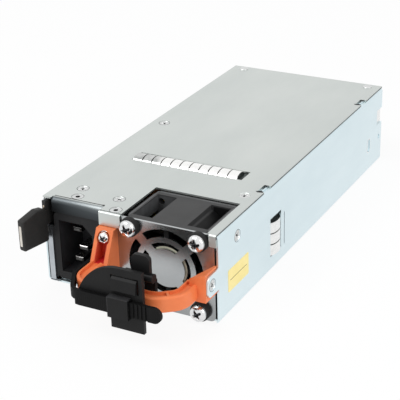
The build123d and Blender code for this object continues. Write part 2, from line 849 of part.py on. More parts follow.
with BuildPart(front(hub_back_y)) as fan_shaft:
    with Locations((fan_x, fan_z)):
        Cylinder(shaft_r, hub_back_y - base_end_y - gap, align=rising)
save(fan_shaft, "fan_shaft")

with BuildPart() as fan_bearings:
    for bearing_y in (base_end_y + gap + bearing_l, tube_end_y):
        with BuildSketch(front(bearing_y)):
            with Locations((fan_x, fan_z)):
                Circle(tube_bore_r)
                Circle(shaft_r + run_fit, mode=Mode.SUBTRACT)
        extrude(amount=bearing_l)
save(fan_bearings, "fan_bearings")

stator_front_y = hub_front_y + bearing_l
stator_back_y = tube_end_y - bearing_l
with BuildPart() as fan_stator:
    with BuildSketch(front(stator_back_y)):
        with Locations((fan_x, fan_z)):
            Circle(stator_r)
            with PolarLocations(stator_r, 4, start_angle=45):
                Rectangle(fan_strut_w, fan_strut_w, mode=Mode.SUBTRACT)
            Circle(tube_r, mode=Mode.SUBTRACT)
    extrude(amount=stator_back_y - stator_front_y)
save(fan_stator, "fan_stator")

with BuildPart() as fan_magnet:
    with BuildSketch(front(stator_back_y)):
        with Locations((fan_x, fan_z)):
            Circle(hub_r - hub_wall)
            Circle(hub_r - hub_wall - magnet_t, mode=Mode.SUBTRACT)
    extrude(amount=stator_back_y - stator_front_y)
save(fan_magnet, "fan_magnet")

with BuildPart() as fan_driver_board:
    with BuildSketch(front(base_end_y + driver_t)):
        with Locations((fan_x, fan_z)):
            Circle(hub_r - hub_wall)
            Circle(tube_r, mode=Mode.SUBTRACT)
    extrude(amount=driver_t)
save(fan_driver_board, "fan_driver_board")

# Rubber grommets and pan-head screws at the fan's corners
with BuildPart(front(0)) as fan_grommets:
    with Locations((fan_x, fan_z)):
        with GridLocations(fan_pitch, fan_pitch, 2, 2):
            Cylinder(grommet_r, grommet_t, align=rising)
            Cylinder(grommet_neck_r, panel_t, align=sinking)
    chamfer(fan_grommets.edges().group_by(Axis.Y)[0], grommet_t / 4)
    with Locations((fan_x, fan_z)):
        with GridLocations(fan_pitch, fan_pitch, 2, 2):
            Cylinder(fan_screw_r, 2 * (panel_t + grommet_t), mode=Mode.SUBTRACT)
save(fan_grommets, "fan_grommets")

with BuildPart(front(-grommet_t)) as fan_screws:
    with Locations((fan_x, fan_z)):
        with GridLocations(fan_pitch, fan_pitch, 2, 2):
            Cylinder(screw_head_r, screw_head_h, align=rising)
            Cylinder(fan_screw_r, grommet_t + panel_t + fan_flange_t, align=sinking)
    chamfer(fan_screws.edges().group_by(Axis.Y)[0], screw_head_h / 2)
    with Locations((fan_x, fan_z, screw_head_h)):
        with GridLocations(fan_pitch, fan_pitch, 2, 2):
            Box(screw_cross_l, screw_cross_w, 2 * screw_cross_d, mode=Mode.SUBTRACT)
            Box(screw_cross_w, screw_cross_l, 2 * screw_cross_d, mode=Mode.SUBTRACT)
save(fan_screws, "fan_screws")

def bow_path(right_end):
    # middle line of the bow, from the panel round to its right end
    FilletPolyline((arm_x, 0), (arm_x, bow_y), (bow_turn_x, bow_y), (bow_right_x, bow_turn_y),
                   (bow_right_x, right_end), radius=[bow_left_r, bow_front_r, bow_right_r])


# Pull handle: a bow with a wedge foot on the panel and a block foot on the right wall's tab
with BuildPart() as handle:
    with BuildSketch(level(bow_low)):
        with BuildLine():
            bow_path(-bow_leg_end)
        trace(line_width=bow_bar_w)
    extrude(amount=bow_h)
    fillet(handle.edges().group_by(Axis.Z)[0] + handle.edges().group_by(Axis.Z)[-1], bow_edge_r)
    with BuildSketch(level(bow_top - bow_groove_d)):
        with BuildLine():
            bow_path(-bow_leg_end - bow_end_wall)
        trace(line_width=bow_bar_w - 2 * bow_rim)
    extrude(amount=bow_h, mode=Mode.SUBTRACT)
    rib_middle = ((bow_turn_x + bow_right_x) / 2, (bow_y + bow_turn_y) / 2, bow_top - bow_groove_d)
    with Locations(Location(rib_middle, (0, 0, bow_turn))):
        Box(bow_rib_w, bow_bar_w - bow_rim, bow_rib_h, align=rising)
    with BuildSketch(side(foot_left)):
        with BuildLine():
            Polyline((0, bow_low), (0, foot_high), (-foot_top_l, foot_high),
                     (-foot_low_l, foot_channel_low), (-foot_low_l, bow_low), close=True)
        make_face()
    extrude(amount=foot_w)
    with BuildSketch(side(foot_left + foot_rib_w)):
        span(-foot_low_l, -foot_web, foot_channel_low, foot_high - foot_bar_h)
    extrude(amount=foot_w - 2 * foot_rib_w, mode=Mode.SUBTRACT)
    # side foot: its top rises to the wall, and its raised part is a gusset in plan
    with BuildSketch(front(0)):
        with BuildLine():
            Polyline((side_foot_left, side_foot_low), (side_foot_right, side_foot_low),
                     (side_foot_right, side_foot_high), (side_foot_left, side_foot_shoulder), close=True)
        make_face()
    extrude(amount=side_foot_l)
    with BuildSketch(level(bow_top)):
        with BuildLine():
            Polyline((side_foot_left, 0), (side_foot_right - sheet, 0), (side_foot_left, -side_foot_l), close=True)
        make_face()
    extrude(amount=side_foot_high, mode=Mode.SUBTRACT)
    with BuildSketch(front(-foot_web)):
        with Locations((foot_mid_x, handle_screw_z)):
            Circle(washer_r + gap)
    extrude(amount=foot_low_l, mode=Mode.SUBTRACT)
    with Locations(front(-foot_low_l)):
        with Locations((foot_mid_x, handle_screw_z)):
            Hole(handle_screw_r + screw_hole_fit, depth=foot_low_l)
    with Locations(side(inner_x)):
        with Locations((-tab_screw_y, tab_screw_z)):
            Hole(cover_screw_r + screw_hole_fit, depth=side_screw_l - sheet)
save(handle, "handle")

with BuildPart(front(-foot_web - 2 * washer_t)) as handle_front_screw:
    with Locations((foot_mid_x, handle_screw_z)):
        Cylinder(handle_screw_head_r, handle_screw_head_h, align=rising)
        Cylinder(handle_screw_r, foot_web + 2 * washer_t + panel_t + nut_t, align=sinking)
    chamfer(handle_front_screw.edges().group_by(Axis.Y)[0], handle_screw_head_h / 3)
    with Locations((foot_mid_x, handle_screw_z, handle_screw_head_h)):
        Box(handle_screw_cross_l, screw_cross_w, 2 * screw_cross_d, mode=Mode.SUBTRACT)
        Box(screw_cross_w, handle_screw_cross_l, 2 * screw_cross_d, mode=Mode.SUBTRACT)
save(handle_front_screw, "handle_front_screw")

with BuildPart(front(-foot_web)) as handle_flat_washer:
    with Locations((foot_mid_x, handle_screw_z)):
        Cylinder(washer_r, washer_t, align=rising)
        Cylinder(handle_screw_r + screw_hole_fit, 4 * washer_t, mode=Mode.SUBTRACT)
save(handle_flat_washer, "handle_flat_washer")

with BuildPart(front(-foot_web - washer_t)) as handle_lock_washer:
    with Locations((foot_mid_x, handle_screw_z)):
        Cylinder(handle_screw_head_r, washer_t, align=rising)
        Cylinder(handle_screw_r + screw_hole_fit, 4 * washer_t, mode=Mode.SUBTRACT)
save(handle_lock_washer, "handle_lock_washer")

with BuildPart() as handle_nut:
    with BuildSketch(front(panel_t + nut_t)):
        with Locations((foot_mid_x, handle_screw_z)):
            RegularPolygon(nut_r, 6)
            Circle(handle_screw_r, mode=Mode.SUBTRACT)
    extrude(amount=nut_t)
save(handle_nut, "handle_nut")

with BuildPart(side(wall_x - csk_fit)) as side_screws:
    with Locations((-tab_screw_y, tab_screw_z), (side_screw_y, side_screw_z)):
        Cone(cover_screw_r, csk_r - csk_fit, csk_r - csk_fit - cover_screw_r, align=sinking)
        Cylinder(cover_screw_r, side_screw_l - sheet, align=sinking)
save(side_screws, "side_screws")

# Release latch: sprung arm on the inside of the left wall, grip moulded on its front end
with BuildPart() as latch_arm:
    with BuildSketch(level(latch_low)):
        with BuildLine():
            Polyline((latch_x, latch_axis_y + latch_tail), (latch_x, latch_bend_y), (splay_x, splay_y))
        trace(line_width=latch_t)
    extrude(amount=latch_h)
    with BuildSketch(level(latch_core_low)):
        with BuildLine():
            Line((splay_x, splay_y), (latch_tip_x, -latch_reach))
        trace(line_width=latch_t)
    extrude(amount=latch_core_h)
    with BuildSketch(level(latch_mid_z - hook_h / 2)):
        with BuildLine():
            hook_root = latch_x - latch_t / 2
            Polyline((hook_root, hook_front), (-wall_x - hook_out, hook_front),
                     (-wall_x - hook_out, hook_front + hook_nose), (hook_root, hook_front + hook_l),
                     close=True)
        make_face()
    extrude(amount=hook_h)
    with Locations(side(latch_x)):
        with Locations((latch_axis_y, latch_mid_z)):
            with GridLocations(0, rivet_spacing, 1, 2):
                Cylinder(latch_rivet_r + gap, 2 * latch_t, mode=Mode.SUBTRACT)
save(latch_arm, "latch_arm")

splay_l = hypot(latch_tip_x - splay_x, latch_reach + splay_y)
splay_dir = ((latch_tip_x - splay_x) / splay_l, -(latch_reach + splay_y) / splay_l)
splay_plane = Plane(origin=(splay_x, splay_y, 0), x_dir=(splay_dir[0], splay_dir[1], 0),
                    z_dir=(splay_dir[1], -splay_dir[0], 0))
with BuildPart() as latch_grip:
    with BuildSketch(splay_plane):
        with BuildLine():
            grip_high = grip_low + grip_h
            Polyline((0, grip_low), (splay_l, grip_low), (splay_l, grip_high - grip_peak),
                     (grip_peak_at, grip_high + grip_peak / 2), (0, grip_high), close=True)
        make_face()
    extrude(amount=grip_t / 2, both=True)
    across = Axis((splay_x, splay_y, 0), (splay_dir[1], -splay_dir[0], 0))
    fillet(latch_grip.edges().group_by(across)[0] + latch_grip.edges().group_by(across)[-1], grip_edge_r)
    with BuildSketch(level(grip_root_low)):
        with BuildLine():
            Polyline((latch_x, grip_root_y), (latch_x, latch_bend_y), (splay_x, splay_y))
        trace(line_width=grip_root_w)
    extrude(amount=grip_root_h)
    # bed of the steel core
    with BuildSketch(level(latch_low)):
        with BuildLine():
            Polyline((latch_x, latch_axis_y), (latch_x, latch_bend_y), (splay_x, splay_y))
        trace(line_width=latch_t)
    extrude(amount=latch_h, mode=Mode.SUBTRACT)
    with BuildSketch(level(latch_core_low)):
        with BuildLine():
            Line((splay_x, splay_y), (latch_tip_x, -latch_reach))
        trace(line_width=latch_t)
    extrude(amount=latch_core_h, mode=Mode.SUBTRACT)
save(latch_grip, "latch_grip")

with BuildPart(side(-wall_x)) as latch_rivets:
    rivet_seat = latch_x + latch_t / 2 + gap + wall_x
    with Locations((latch_axis_y, latch_mid_z)):
        with GridLocations(0, rivet_spacing, 1, 2):
            Cylinder(latch_rivet_r, rivet_seat, align=rising)
    with Locations((latch_axis_y, latch_mid_z, rivet_seat)):
        with GridLocations(0, rivet_spacing, 1, 2):
            Cylinder(latch_rivet_head_r - csk_fit, latch_rivet_head_t, align=rising)
save(latch_rivets, "latch_rivets")

# Cord clamp: plate with a rounded shoulder in front of the bow, shelves round the bar, buckle and pad
arc_x = clamp_left + clamp_arc_r
arc_z = clamp_high - clamp_arc_r
with BuildPart() as clamp_body:
    with BuildSketch(front(clamp_back_y)):
        with BuildLine():
            CenterArc((arc_x, arc_z), clamp_arc_r, 90, 90)
            Polyline((clamp_left, arc_z), (clamp_left, clamp_low), (clamp_tail_left, clamp_low),
                     (clamp_tail_left, clamp_tail_low), (clamp_right, clamp_tail_low),
                     (clamp_right, clamp_high), (arc_x, clamp_high))
        make_face()
        # slit round the pad
        span(pad_left - pad_slit, pad_left + pad_w + pad_slit, pad_low, pad_low + pad_h + pad_slit,
             mode=Mode.SUBTRACT)
        span(pad_left, pad_left + pad_w, pad_low, pad_low + pad_h)
    extrude(amount=clamp_t)
    with BuildSketch(side(pad_left)):
        with BuildLine():
            Polyline((clamp_face_y, pad_low), (clamp_face_y, pad_low + pad_h),
                     (clamp_face_y - pad_rise, pad_low + pad_h - pad_rise),
                     (clamp_face_y - 2 * pad_rise, pad_low + pad_rise), close=True)
        make_face()
    extrude(amount=pad_w)
    # shelves over and under the bar, with a hook behind it
    with BuildSketch(side(shelf_left)):
        hook_y = -bow_reach + bow_bar_w + gap
        span(clamp_back_y, hook_y + hook_wall, shelf_low, shelf_low + shelf_t)
        span(hook_y, hook_y + hook_wall, shelf_low - hook_drop, shelf_low)
        span(clamp_back_y, hook_y - bow_bar_w / 2, bow_low - gap - shelf_t, bow_low - gap)
    extrude(amount=shelf_right - gap - lever_clear - shelf_left)
    # ear for the lever pin
    with BuildSketch(side(ear_left)):
        span(-pivot_y - knuckle_r, -pivot_y + knuckle_r, shelf_low, pivot_z)
        with Locations((-pivot_y, pivot_z)):
            Circle(knuckle_r)
            Circle(pin_r, mode=Mode.SUBTRACT)
    extrude(amount=ear_w)
    # buckle round the strap
    with BuildSketch(side(buckle_left)):
        buckle_y = strap_y - strap_t / 2 - gap
        span(buckle_y - buckle_wall, clamp_face_y, strap_low - gap - buckle_wall,
             strap_low + strap_w + gap + buckle_wall)
        span(buckle_y, clamp_face_y, strap_low - gap, strap_low + strap_w + gap, mode=Mode.SUBTRACT)
    extrude(amount=buckle_w)
save(clamp_body, "clamp_body")

# Toothed strap: from its anchor on the handle's foot, round the bow's corner, through the buckle
with BuildPart() as clamp_strap:
    with BuildSketch(level(strap_low)):
        with BuildLine():
            strap_side = foot_left - strap_out
            FilletPolyline((strap_side, -strap_t / 2), (strap_side, -strap_corner_y),
                           (foot_left + strap_corner_in, strap_y), (strap_tip_x, strap_y),
                           radius=strap_bend_r)
        trace(line_width=strap_t)
    extrude(amount=strap_w)
    tip_edges = clamp_strap.edges().filter_by(Axis.Y).group_by(Axis.X)[-1]
    fillet(tip_edges, strap_w / 2 - csk_fit)
    # the loop is narrower than the tail
    block(strap_side - strap_t, clamp_left + strap_t, clamp_face_y - clamp_t, 0, strap_low, strap_loop_low,
          mode=Mode.SUBTRACT)
    # anchor lug on the foot
    block(foot_left - strap_out, foot_left, -strap_t - anchor_l, -strap_t, strap_high - anchor_h, strap_high)
    # ribs of the tail
    tail_left = buckle_left + buckle_w + strap_rib_pitch
    rib_count = int((strap_tip_x - strap_w / 2 - tail_left) // strap_rib_pitch)
    for rib in range(rib_count):
        rib_x = tail_left + rib * strap_rib_pitch
        block(rib_x, rib_x + strap_rib_pitch / 2, strap_y - strap_t / 2, strap_y - strap_t / 2 + strap_rib_d,
              strap_low, strap_low + strap_w, mode=Mode.SUBTRACT)
save(clamp_strap, "clamp_strap")

# Lever that hooks behind the bar, tipped by its finger tab
knuckle_left = ear_left + ear_w + gap
with BuildPart() as clamp_lever:
    with BuildSketch(side(knuckle_left)):
        with Locations((-pivot_y, pivot_z)):
            Circle(knuckle_r)
    extrude(amount=knuckle_w)
    with BuildSketch(front(-pivot_y + finger_tab_t / 2)) as tab_face:
        span(knuckle_left + tab_inset, knuckle_left + tab_inset + finger_tab_w, pivot_z,
             pivot_z + finger_tab_h)
        fillet(tab_face.vertices().group_by(Axis.Y)[-1], finger_tab_r)
    extrude(amount=finger_tab_t)
    with BuildSketch(side(lever_hook_left)):
        with BuildLine():
            hook_front_y = -bow_reach + bow_bar_w + gap + hook_wall + gap
            hook_knee_z = shelf_low + shelf_t + lever_clear
            Polyline((-pivot_y - knuckle_r / 2, pivot_z), (-pivot_y, pivot_z - knuckle_r + gap),
                     (hook_front_y, hook_knee_z), (hook_front_y, lever_hook_low),
                     (hook_front_y + lever_hook_t, lever_hook_low),
                     (hook_front_y + lever_hook_t, hook_knee_z),
                     (-pivot_y + knuckle_r, pivot_z), close=True)
        make_face()
    extrude(amount=lever_hook_w)
    with BuildSketch(side(knuckle_left)):
        with Locations((-pivot_y, pivot_z)):
            Circle(pin_r + run_fit)
    extrude(amount=knuckle_w, mode=Mode.SUBTRACT)
save(clamp_lever, "clamp_lever")

with BuildPart(side(ear_left)) as clamp_pin:
    with Locations((-pivot_y, pivot_z)):
        Cylinder(pin_r, ear_w + gap + knuckle_w, align=rising)
save(clamp_pin, "clamp_pin")


def finger_arch(start, width, base, crest):
    """Profile of one arched contact finger with its flat rail, in the sketch's own axes."""
    low = base - finger_t
    half = width / 2 - finger_seat
    middle = start + width / 2
    turns = [pi * step / finger_facets for step in range(finger_facets + 1)]
    outer = [(middle - half * cos(turn), low + (crest - low) * sin(turn)) for turn in turns]
    inner_half = half - finger_t
    inner_rise = crest - low - finger_t
    inner = [(middle + inner_half * cos(turn), low + inner_rise * sin(turn)) for turn in turns]
    with BuildLine() as outline:
        Polyline(*outer, *inner, close=True)
    make_face(outline.edges())
    span(start - rail_w, middle - inner_half, low, base)


# Finger strip across the cover and the smaller one on the right wall
with BuildPart() as top_fingers:
    with BuildSketch(side(top_strip_x - top_strip_l / 2)):
        finger_arch(top_strip_y, top_strip_w, lid_z, case_h + finger_rise)
    extrude(amount=top_strip_l)
    for slit in range(1, top_finger_count):
        slit_x = top_strip_x - top_strip_l / 2 + slit * finger_pitch
        block(slit_x - finger_slit / 2, slit_x + finger_slit / 2, top_strip_y + finger_seat + finger_t,
              top_strip_y + top_strip_w, lid_z - finger_t, case_h + finger_rise, mode=Mode.SUBTRACT)
save(top_fingers, "top_fingers")

side_plane = Plane(origin=(0, 0, side_strip_z + gap), x_dir=(0, 1, 0), z_dir=(0, 0, -1))
with BuildPart() as side_fingers:
    with BuildSketch(side_plane):
        finger_arch(side_strip_y, side_strip_w, inner_x, wall_x + finger_rise)
    extrude(amount=-side_finger_count * side_finger_pitch)
    for slit in range(1, side_finger_count):
        slit_z = side_strip_z + gap + slit * side_finger_pitch
        block(inner_x - finger_t, wall_x + finger_rise, side_strip_y + finger_seat + finger_t,
              side_strip_y + side_strip_w, slit_z - finger_slit / 2, slit_z + finger_slit / 2,
              mode=Mode.SUBTRACT)
save(side_fingers, "side_fingers")

# Countersunk cover screws and flush rear rivets
with BuildPart(level(case_h - csk_fit)) as cover_screws:
    with Locations(*bracket_screws, *flange_screws):
        Cone(cover_screw_r, csk_r - csk_fit, csk_r - csk_fit - cover_screw_r, align=sinking)
        Cylinder(cover_screw_r, cover_screw_l, align=sinking)
save(cover_screws, "cover_screws")

with BuildPart(level(case_h)) as cover_rivets:
    with Locations(*rear_rivets):
        Cylinder(rivet_r + sheet, sheet / 2, align=rising)
        Cylinder(rivet_r, 2 * sheet, align=sinking)
    chamfer(cover_rivets.edges().group_by(Axis.Z)[-1], sheet / 3)
save(cover_rivets, "cover_rivets")

# Main board with its edge tongue, contacts, standoffs, screws and insulator sheet
standoff_places = [(-board_x + standoff_inset, board_front + standoff_inset),
                   (board_x - standoff_inset, board_front + standoff_inset),
                   (-board_x + standoff_inset, board_back - standoff_back),
                   (board_x - standoff_inset, board_back - standoff_back)]
with BuildPart() as main_board:
    with BuildSketch(level(board_z)):
        span(-board_x, board_x, board_front, board_back)
        span(-tongue_w / 2, tongue_w / 2, board_back, case_d + tongue_l)
        with Locations(*standoff_places):
            Circle(standoff_bore_r, mode=Mode.SUBTRACT)
    extrude(amount=board_t)
save(main_board, "main_board")

with BuildPart() as edge_contacts:
    for contact_z in (board_top, board_z - contact_t):
        with BuildSketch(level(contact_z)):
            with Locations((0, case_d + tongue_l - contact_l / 2 - gap)):
                with GridLocations(contact_pitch, 0, contact_count, 1):
                    Rectangle(contact_w, contact_l)
        extrude(amount=contact_t)
save(edge_contacts, "edge_contacts")

with BuildPart(level(sheet)) as board_standoffs:
    with Locations(*standoff_places):
        Cylinder(standoff_r, board_lift, align=rising)
        Cylinder(standoff_bore_r, 2 * board_lift, mode=Mode.SUBTRACT)
save(board_standoffs, "board_standoffs")

with BuildPart(level(board_top)) as board_screws:
    with Locations(*standoff_places):
        Cylinder(board_screw_head_r, board_screw_head_h, align=rising)
        Cylinder(board_screw_r, board_screw_l, align=sinking)
save(board_screws, "board_screws")

with BuildPart() as insulator_sheet:
    with BuildSketch(level(sheet)):
        span(-board_x, board_x, board_front, case_d - panel_t - rear_flange_l - gap)
        with Locations(*standoff_places):
            Circle(standoff_r + gap, mode=Mode.SUBTRACT)
    extrude(amount=sheet_film)
save(insulator_sheet, "insulator_sheet")


def standing_choke(radius, bore, width, places):
    """Wound ring cores standing on the board, with their axes along the case."""
    with BuildPart() as ring:
        for place_x, place_y in places:
            with BuildSketch(front(place_y + width / 2)) as outline:
                with Locations((place_x, board_top + radius)):
                    Circle(radius)
                    Circle(bore, mode=Mode.SUBTRACT)
            extrude(amount=width)
    return ring


boost_choke = standing_choke(choke_r, choke_bore_r, choke_w, [(choke_x, choke_y)])
save(boost_choke, "boost_choke")

filter_chokes = standing_choke(filter_r, filter_bore_r, filter_w,
                               [(filter_x, filter_y), (filter_x, filter_y + filter_pitch)])
save(filter_chokes, "filter_chokes")

with BuildPart() as bulk_capacitors:
    for can in range(bulk_count):
        with BuildSketch(front(bulk_front + can * (bulk_l + bulk_gap) + bulk_l)):
            with Locations((bulk_x, board_top + bulk_r)):
                Circle(bulk_r)
        extrude(amount=bulk_l)
save(bulk_capacitors, "bulk_capacitors")

with BuildPart() as transformer_core:
    with BuildSketch(front(core_y + core_l / 2)):
        span(core_x - core_w / 2, core_x + core_w / 2, board_top, board_top + core_h)
        span(core_x - core_w / 2 + core_leg, core_x + core_w / 2 - core_leg, board_top + core_leg,
             board_top + core_h - core_leg, mode=Mode.SUBTRACT)
    extrude(amount=core_l)
save(transformer_core, "transformer_core")

with BuildPart() as transformer_winding:
    with BuildSketch(front(core_y + core_l / 2 + core_leg / 2)):
        span(core_x - core_w / 2 + core_leg, core_x + core_w / 2 - core_leg, board_top + core_leg,
             board_top + core_h - core_leg)
    extrude(amount=core_l + core_leg)
save(transformer_winding, "transformer_winding")


# Heatsink: a web along the case with level fins over its transistors
with BuildPart() as secondary_heatsink:
    with BuildSketch(front(sink_y + sink_l / 2)):
        span(sink_x, sink_x + sink_t, board_top, board_top + sink_h)
        fin_pitch = (sink_h - fet_h) / sink_fins
        for fin in range(sink_fins):
            fin_z = board_top + sink_h - fin * fin_pitch
            span(sink_x, sink_x + sink_t + fet_t, fin_z - sink_t / 2, fin_z)
    extrude(amount=sink_l)
save(secondary_heatsink, "secondary_heatsink")

with BuildPart() as power_transistors:
    with BuildSketch(side(sink_x + sink_t)):
        with Locations((sink_y, board_top + fet_h / 2)):
            with GridLocations(fet_pitch, 0, 2, 1):
                Rectangle(fet_w, fet_h)
    extrude(amount=fet_t)
save(power_transistors, "power_transistors")

with BuildPart(level(board_top)) as output_capacitors:
    with Locations((outcap_x, outcap_y)):
        with GridLocations(outcap_pitch, outcap_pitch, outcap_cols, outcap_rows):
            Cylinder(outcap_r, outcap_h, align=rising)
save(output_capacitors, "output_capacitors")


def boxed(places, width, length, height):
    """Moulded components with softened top edges, standing on the board."""
    with BuildPart(level(board_top)) as parts:
        with Locations(*places):
            Box(width, length, height, align=rising)
        fillet(parts.edges().group_by(Axis.Z)[-1], min(moulded_edge_r, width / 4, length / 4))
    return parts


x_capacitors = boxed([(xcap_x, xcap_y), (xcap_x + xcap_pitch, xcap_y)], xcap_w, xcap_l, xcap_h)
save(x_capacitors, "x_capacitors")
standby_transformer = boxed([(standby_x, standby_y)], standby_w, standby_l, standby_h)
save(standby_transformer, "standby_transformer")
relay = boxed([(relay_x, relay_y)], relay_w, relay_l, relay_h)
save(relay, "relay")
bridge_rectifier = boxed([(bridge_x, bridge_y)], bridge_w, bridge_t, bridge_h)
save(bridge_rectifier, "bridge_rectifier")
control_board = boxed([(card_x, card_y)], card_t, card_l, card_h)
save(control_board, "control_board")
busbar_places = [(busbar_x, busbar_y), (busbar_x + busbar_pitch, busbar_y)]
output_busbars = boxed(busbar_places, busbar_t, busbar_l, busbar_w)
save(output_busbars, "output_busbars")

with BuildPart() as fuse:
    with BuildSketch(front(fuse_y + fuse_l / 2)):
        with Locations((fuse_x, board_top + fuse_r)):
            Circle(fuse_r)
    extrude(amount=fuse_l)
save(fuse, "fuse")
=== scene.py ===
import math
import bmesh
import bpy
from mathutils import Matrix, Vector


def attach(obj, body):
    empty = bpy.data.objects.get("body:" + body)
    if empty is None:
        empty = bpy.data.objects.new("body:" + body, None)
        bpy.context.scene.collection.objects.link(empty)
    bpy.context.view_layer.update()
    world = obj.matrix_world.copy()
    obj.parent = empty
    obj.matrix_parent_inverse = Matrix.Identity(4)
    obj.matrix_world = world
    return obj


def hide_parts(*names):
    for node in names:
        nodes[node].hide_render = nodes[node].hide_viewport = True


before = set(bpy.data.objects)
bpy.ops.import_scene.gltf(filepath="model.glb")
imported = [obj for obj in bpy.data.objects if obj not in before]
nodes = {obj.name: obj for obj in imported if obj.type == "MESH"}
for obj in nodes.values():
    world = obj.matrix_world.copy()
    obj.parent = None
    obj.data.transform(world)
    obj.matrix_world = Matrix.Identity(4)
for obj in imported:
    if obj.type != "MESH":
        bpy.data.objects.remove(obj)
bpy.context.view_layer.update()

MM = 0.001                                  # metres in a millimetre; the part is drawn in mm
MIX_UNDER, MIX_OVER, MIX_RESULT = 6, 7, 2   # colour sockets of a Mix node
WAVE_SCALE = 0.32                           # sets the bands of a wave texture about one unit apart

# planes, axes and screws of the solids that pieces and tints refer to
COVER_TOP = 40.0
WALL_FACE = 42.0
FAN_X, FAN_Z = 18.1, 20.0
FAN_SCREW_OFFSET = 15.75
COVER_SCREWS = ((-30.0, 15.5, 20), (-10.3, 12.6, 65), (-35.5, 96.0, 40), (35.5, 37.6, 10))
WALL_SCREWS = ((-5.3, 20.4, 15), (17.3, 31.9, 50))
SPARE_HOLES = ((-27.6, 7.6), (-6.2, 3.0))
EDGE_NOTCHES = (47.0, 160.0)
INLET_PIN_Z = (10.65, 17.65, 24.65)

# places on the solids with a tint of their own; most of these tints are painted light, shade and
# reflections
LIP_PAINTED_REFLECTION = dict(x=(-38.0, -12.5), y=(1.0, 4.3), z=(33.0, 39.88))
COVER_SEAM_SHADE = dict(x=(41.5, 42.5), z=(38.0, 39.85))
TRAY_FRONT = dict(x=(-41.1, -37.0), y=(2.0, 3.1), z=(-1.0, 30.0))
PANEL_FOOT_SHADE = dict(z=(-20.0, 13.0))
FINGERS_DARK_REFLECTION = dict(x=(-28.0, -14.0), z=(39.0, 42.0))
LATCH_HOOK = dict(x=(-44.0, -41.9), y=(13.0, 21.0))
LATCH_END = dict(y=(-14.0, -12.05))
BUCKLE_TOP_HIGHLIGHT = dict(x=(10.0, 19.7), y=(-33.4, -30.2), z=(21.75, 22.4))
BUCKLE_LEFT_HIGHLIGHT = dict(x=(10.0, 10.45), y=(-33.4, -30.2), z=(13.0, 22.0))
INLET_CAVITY_LIGHT = dict(x=(-35.0, -18.2), y=(3.2, 40.0), z=(5.3, 30.0))
LEFT_POCKET_LIGHT = dict(x=(0.2, 9.0), y=(4.0, 26.5), z=(15.0, 38.4))
RIGHT_POCKET_SHADE = dict(x=(27.0, 36.0), y=(4.0, 26.5), z=(15.0, 38.4))
BEHIND_GUARD_SHADE = dict(x=(1.0, 35.2), y=(0.0, 8.0), z=(2.9, 36.6))
FOOT_WEB_SHADE = dict(x=(-10.4, -5.8), y=(-9.2, -2.0), z=(20.0, 31.4))


# ---------------------------------------------------------------- finishes
def clouded(dark, light):
    """Ramp stops for a soft change between two colours."""
    return (0.3, dark), (0.7, light)


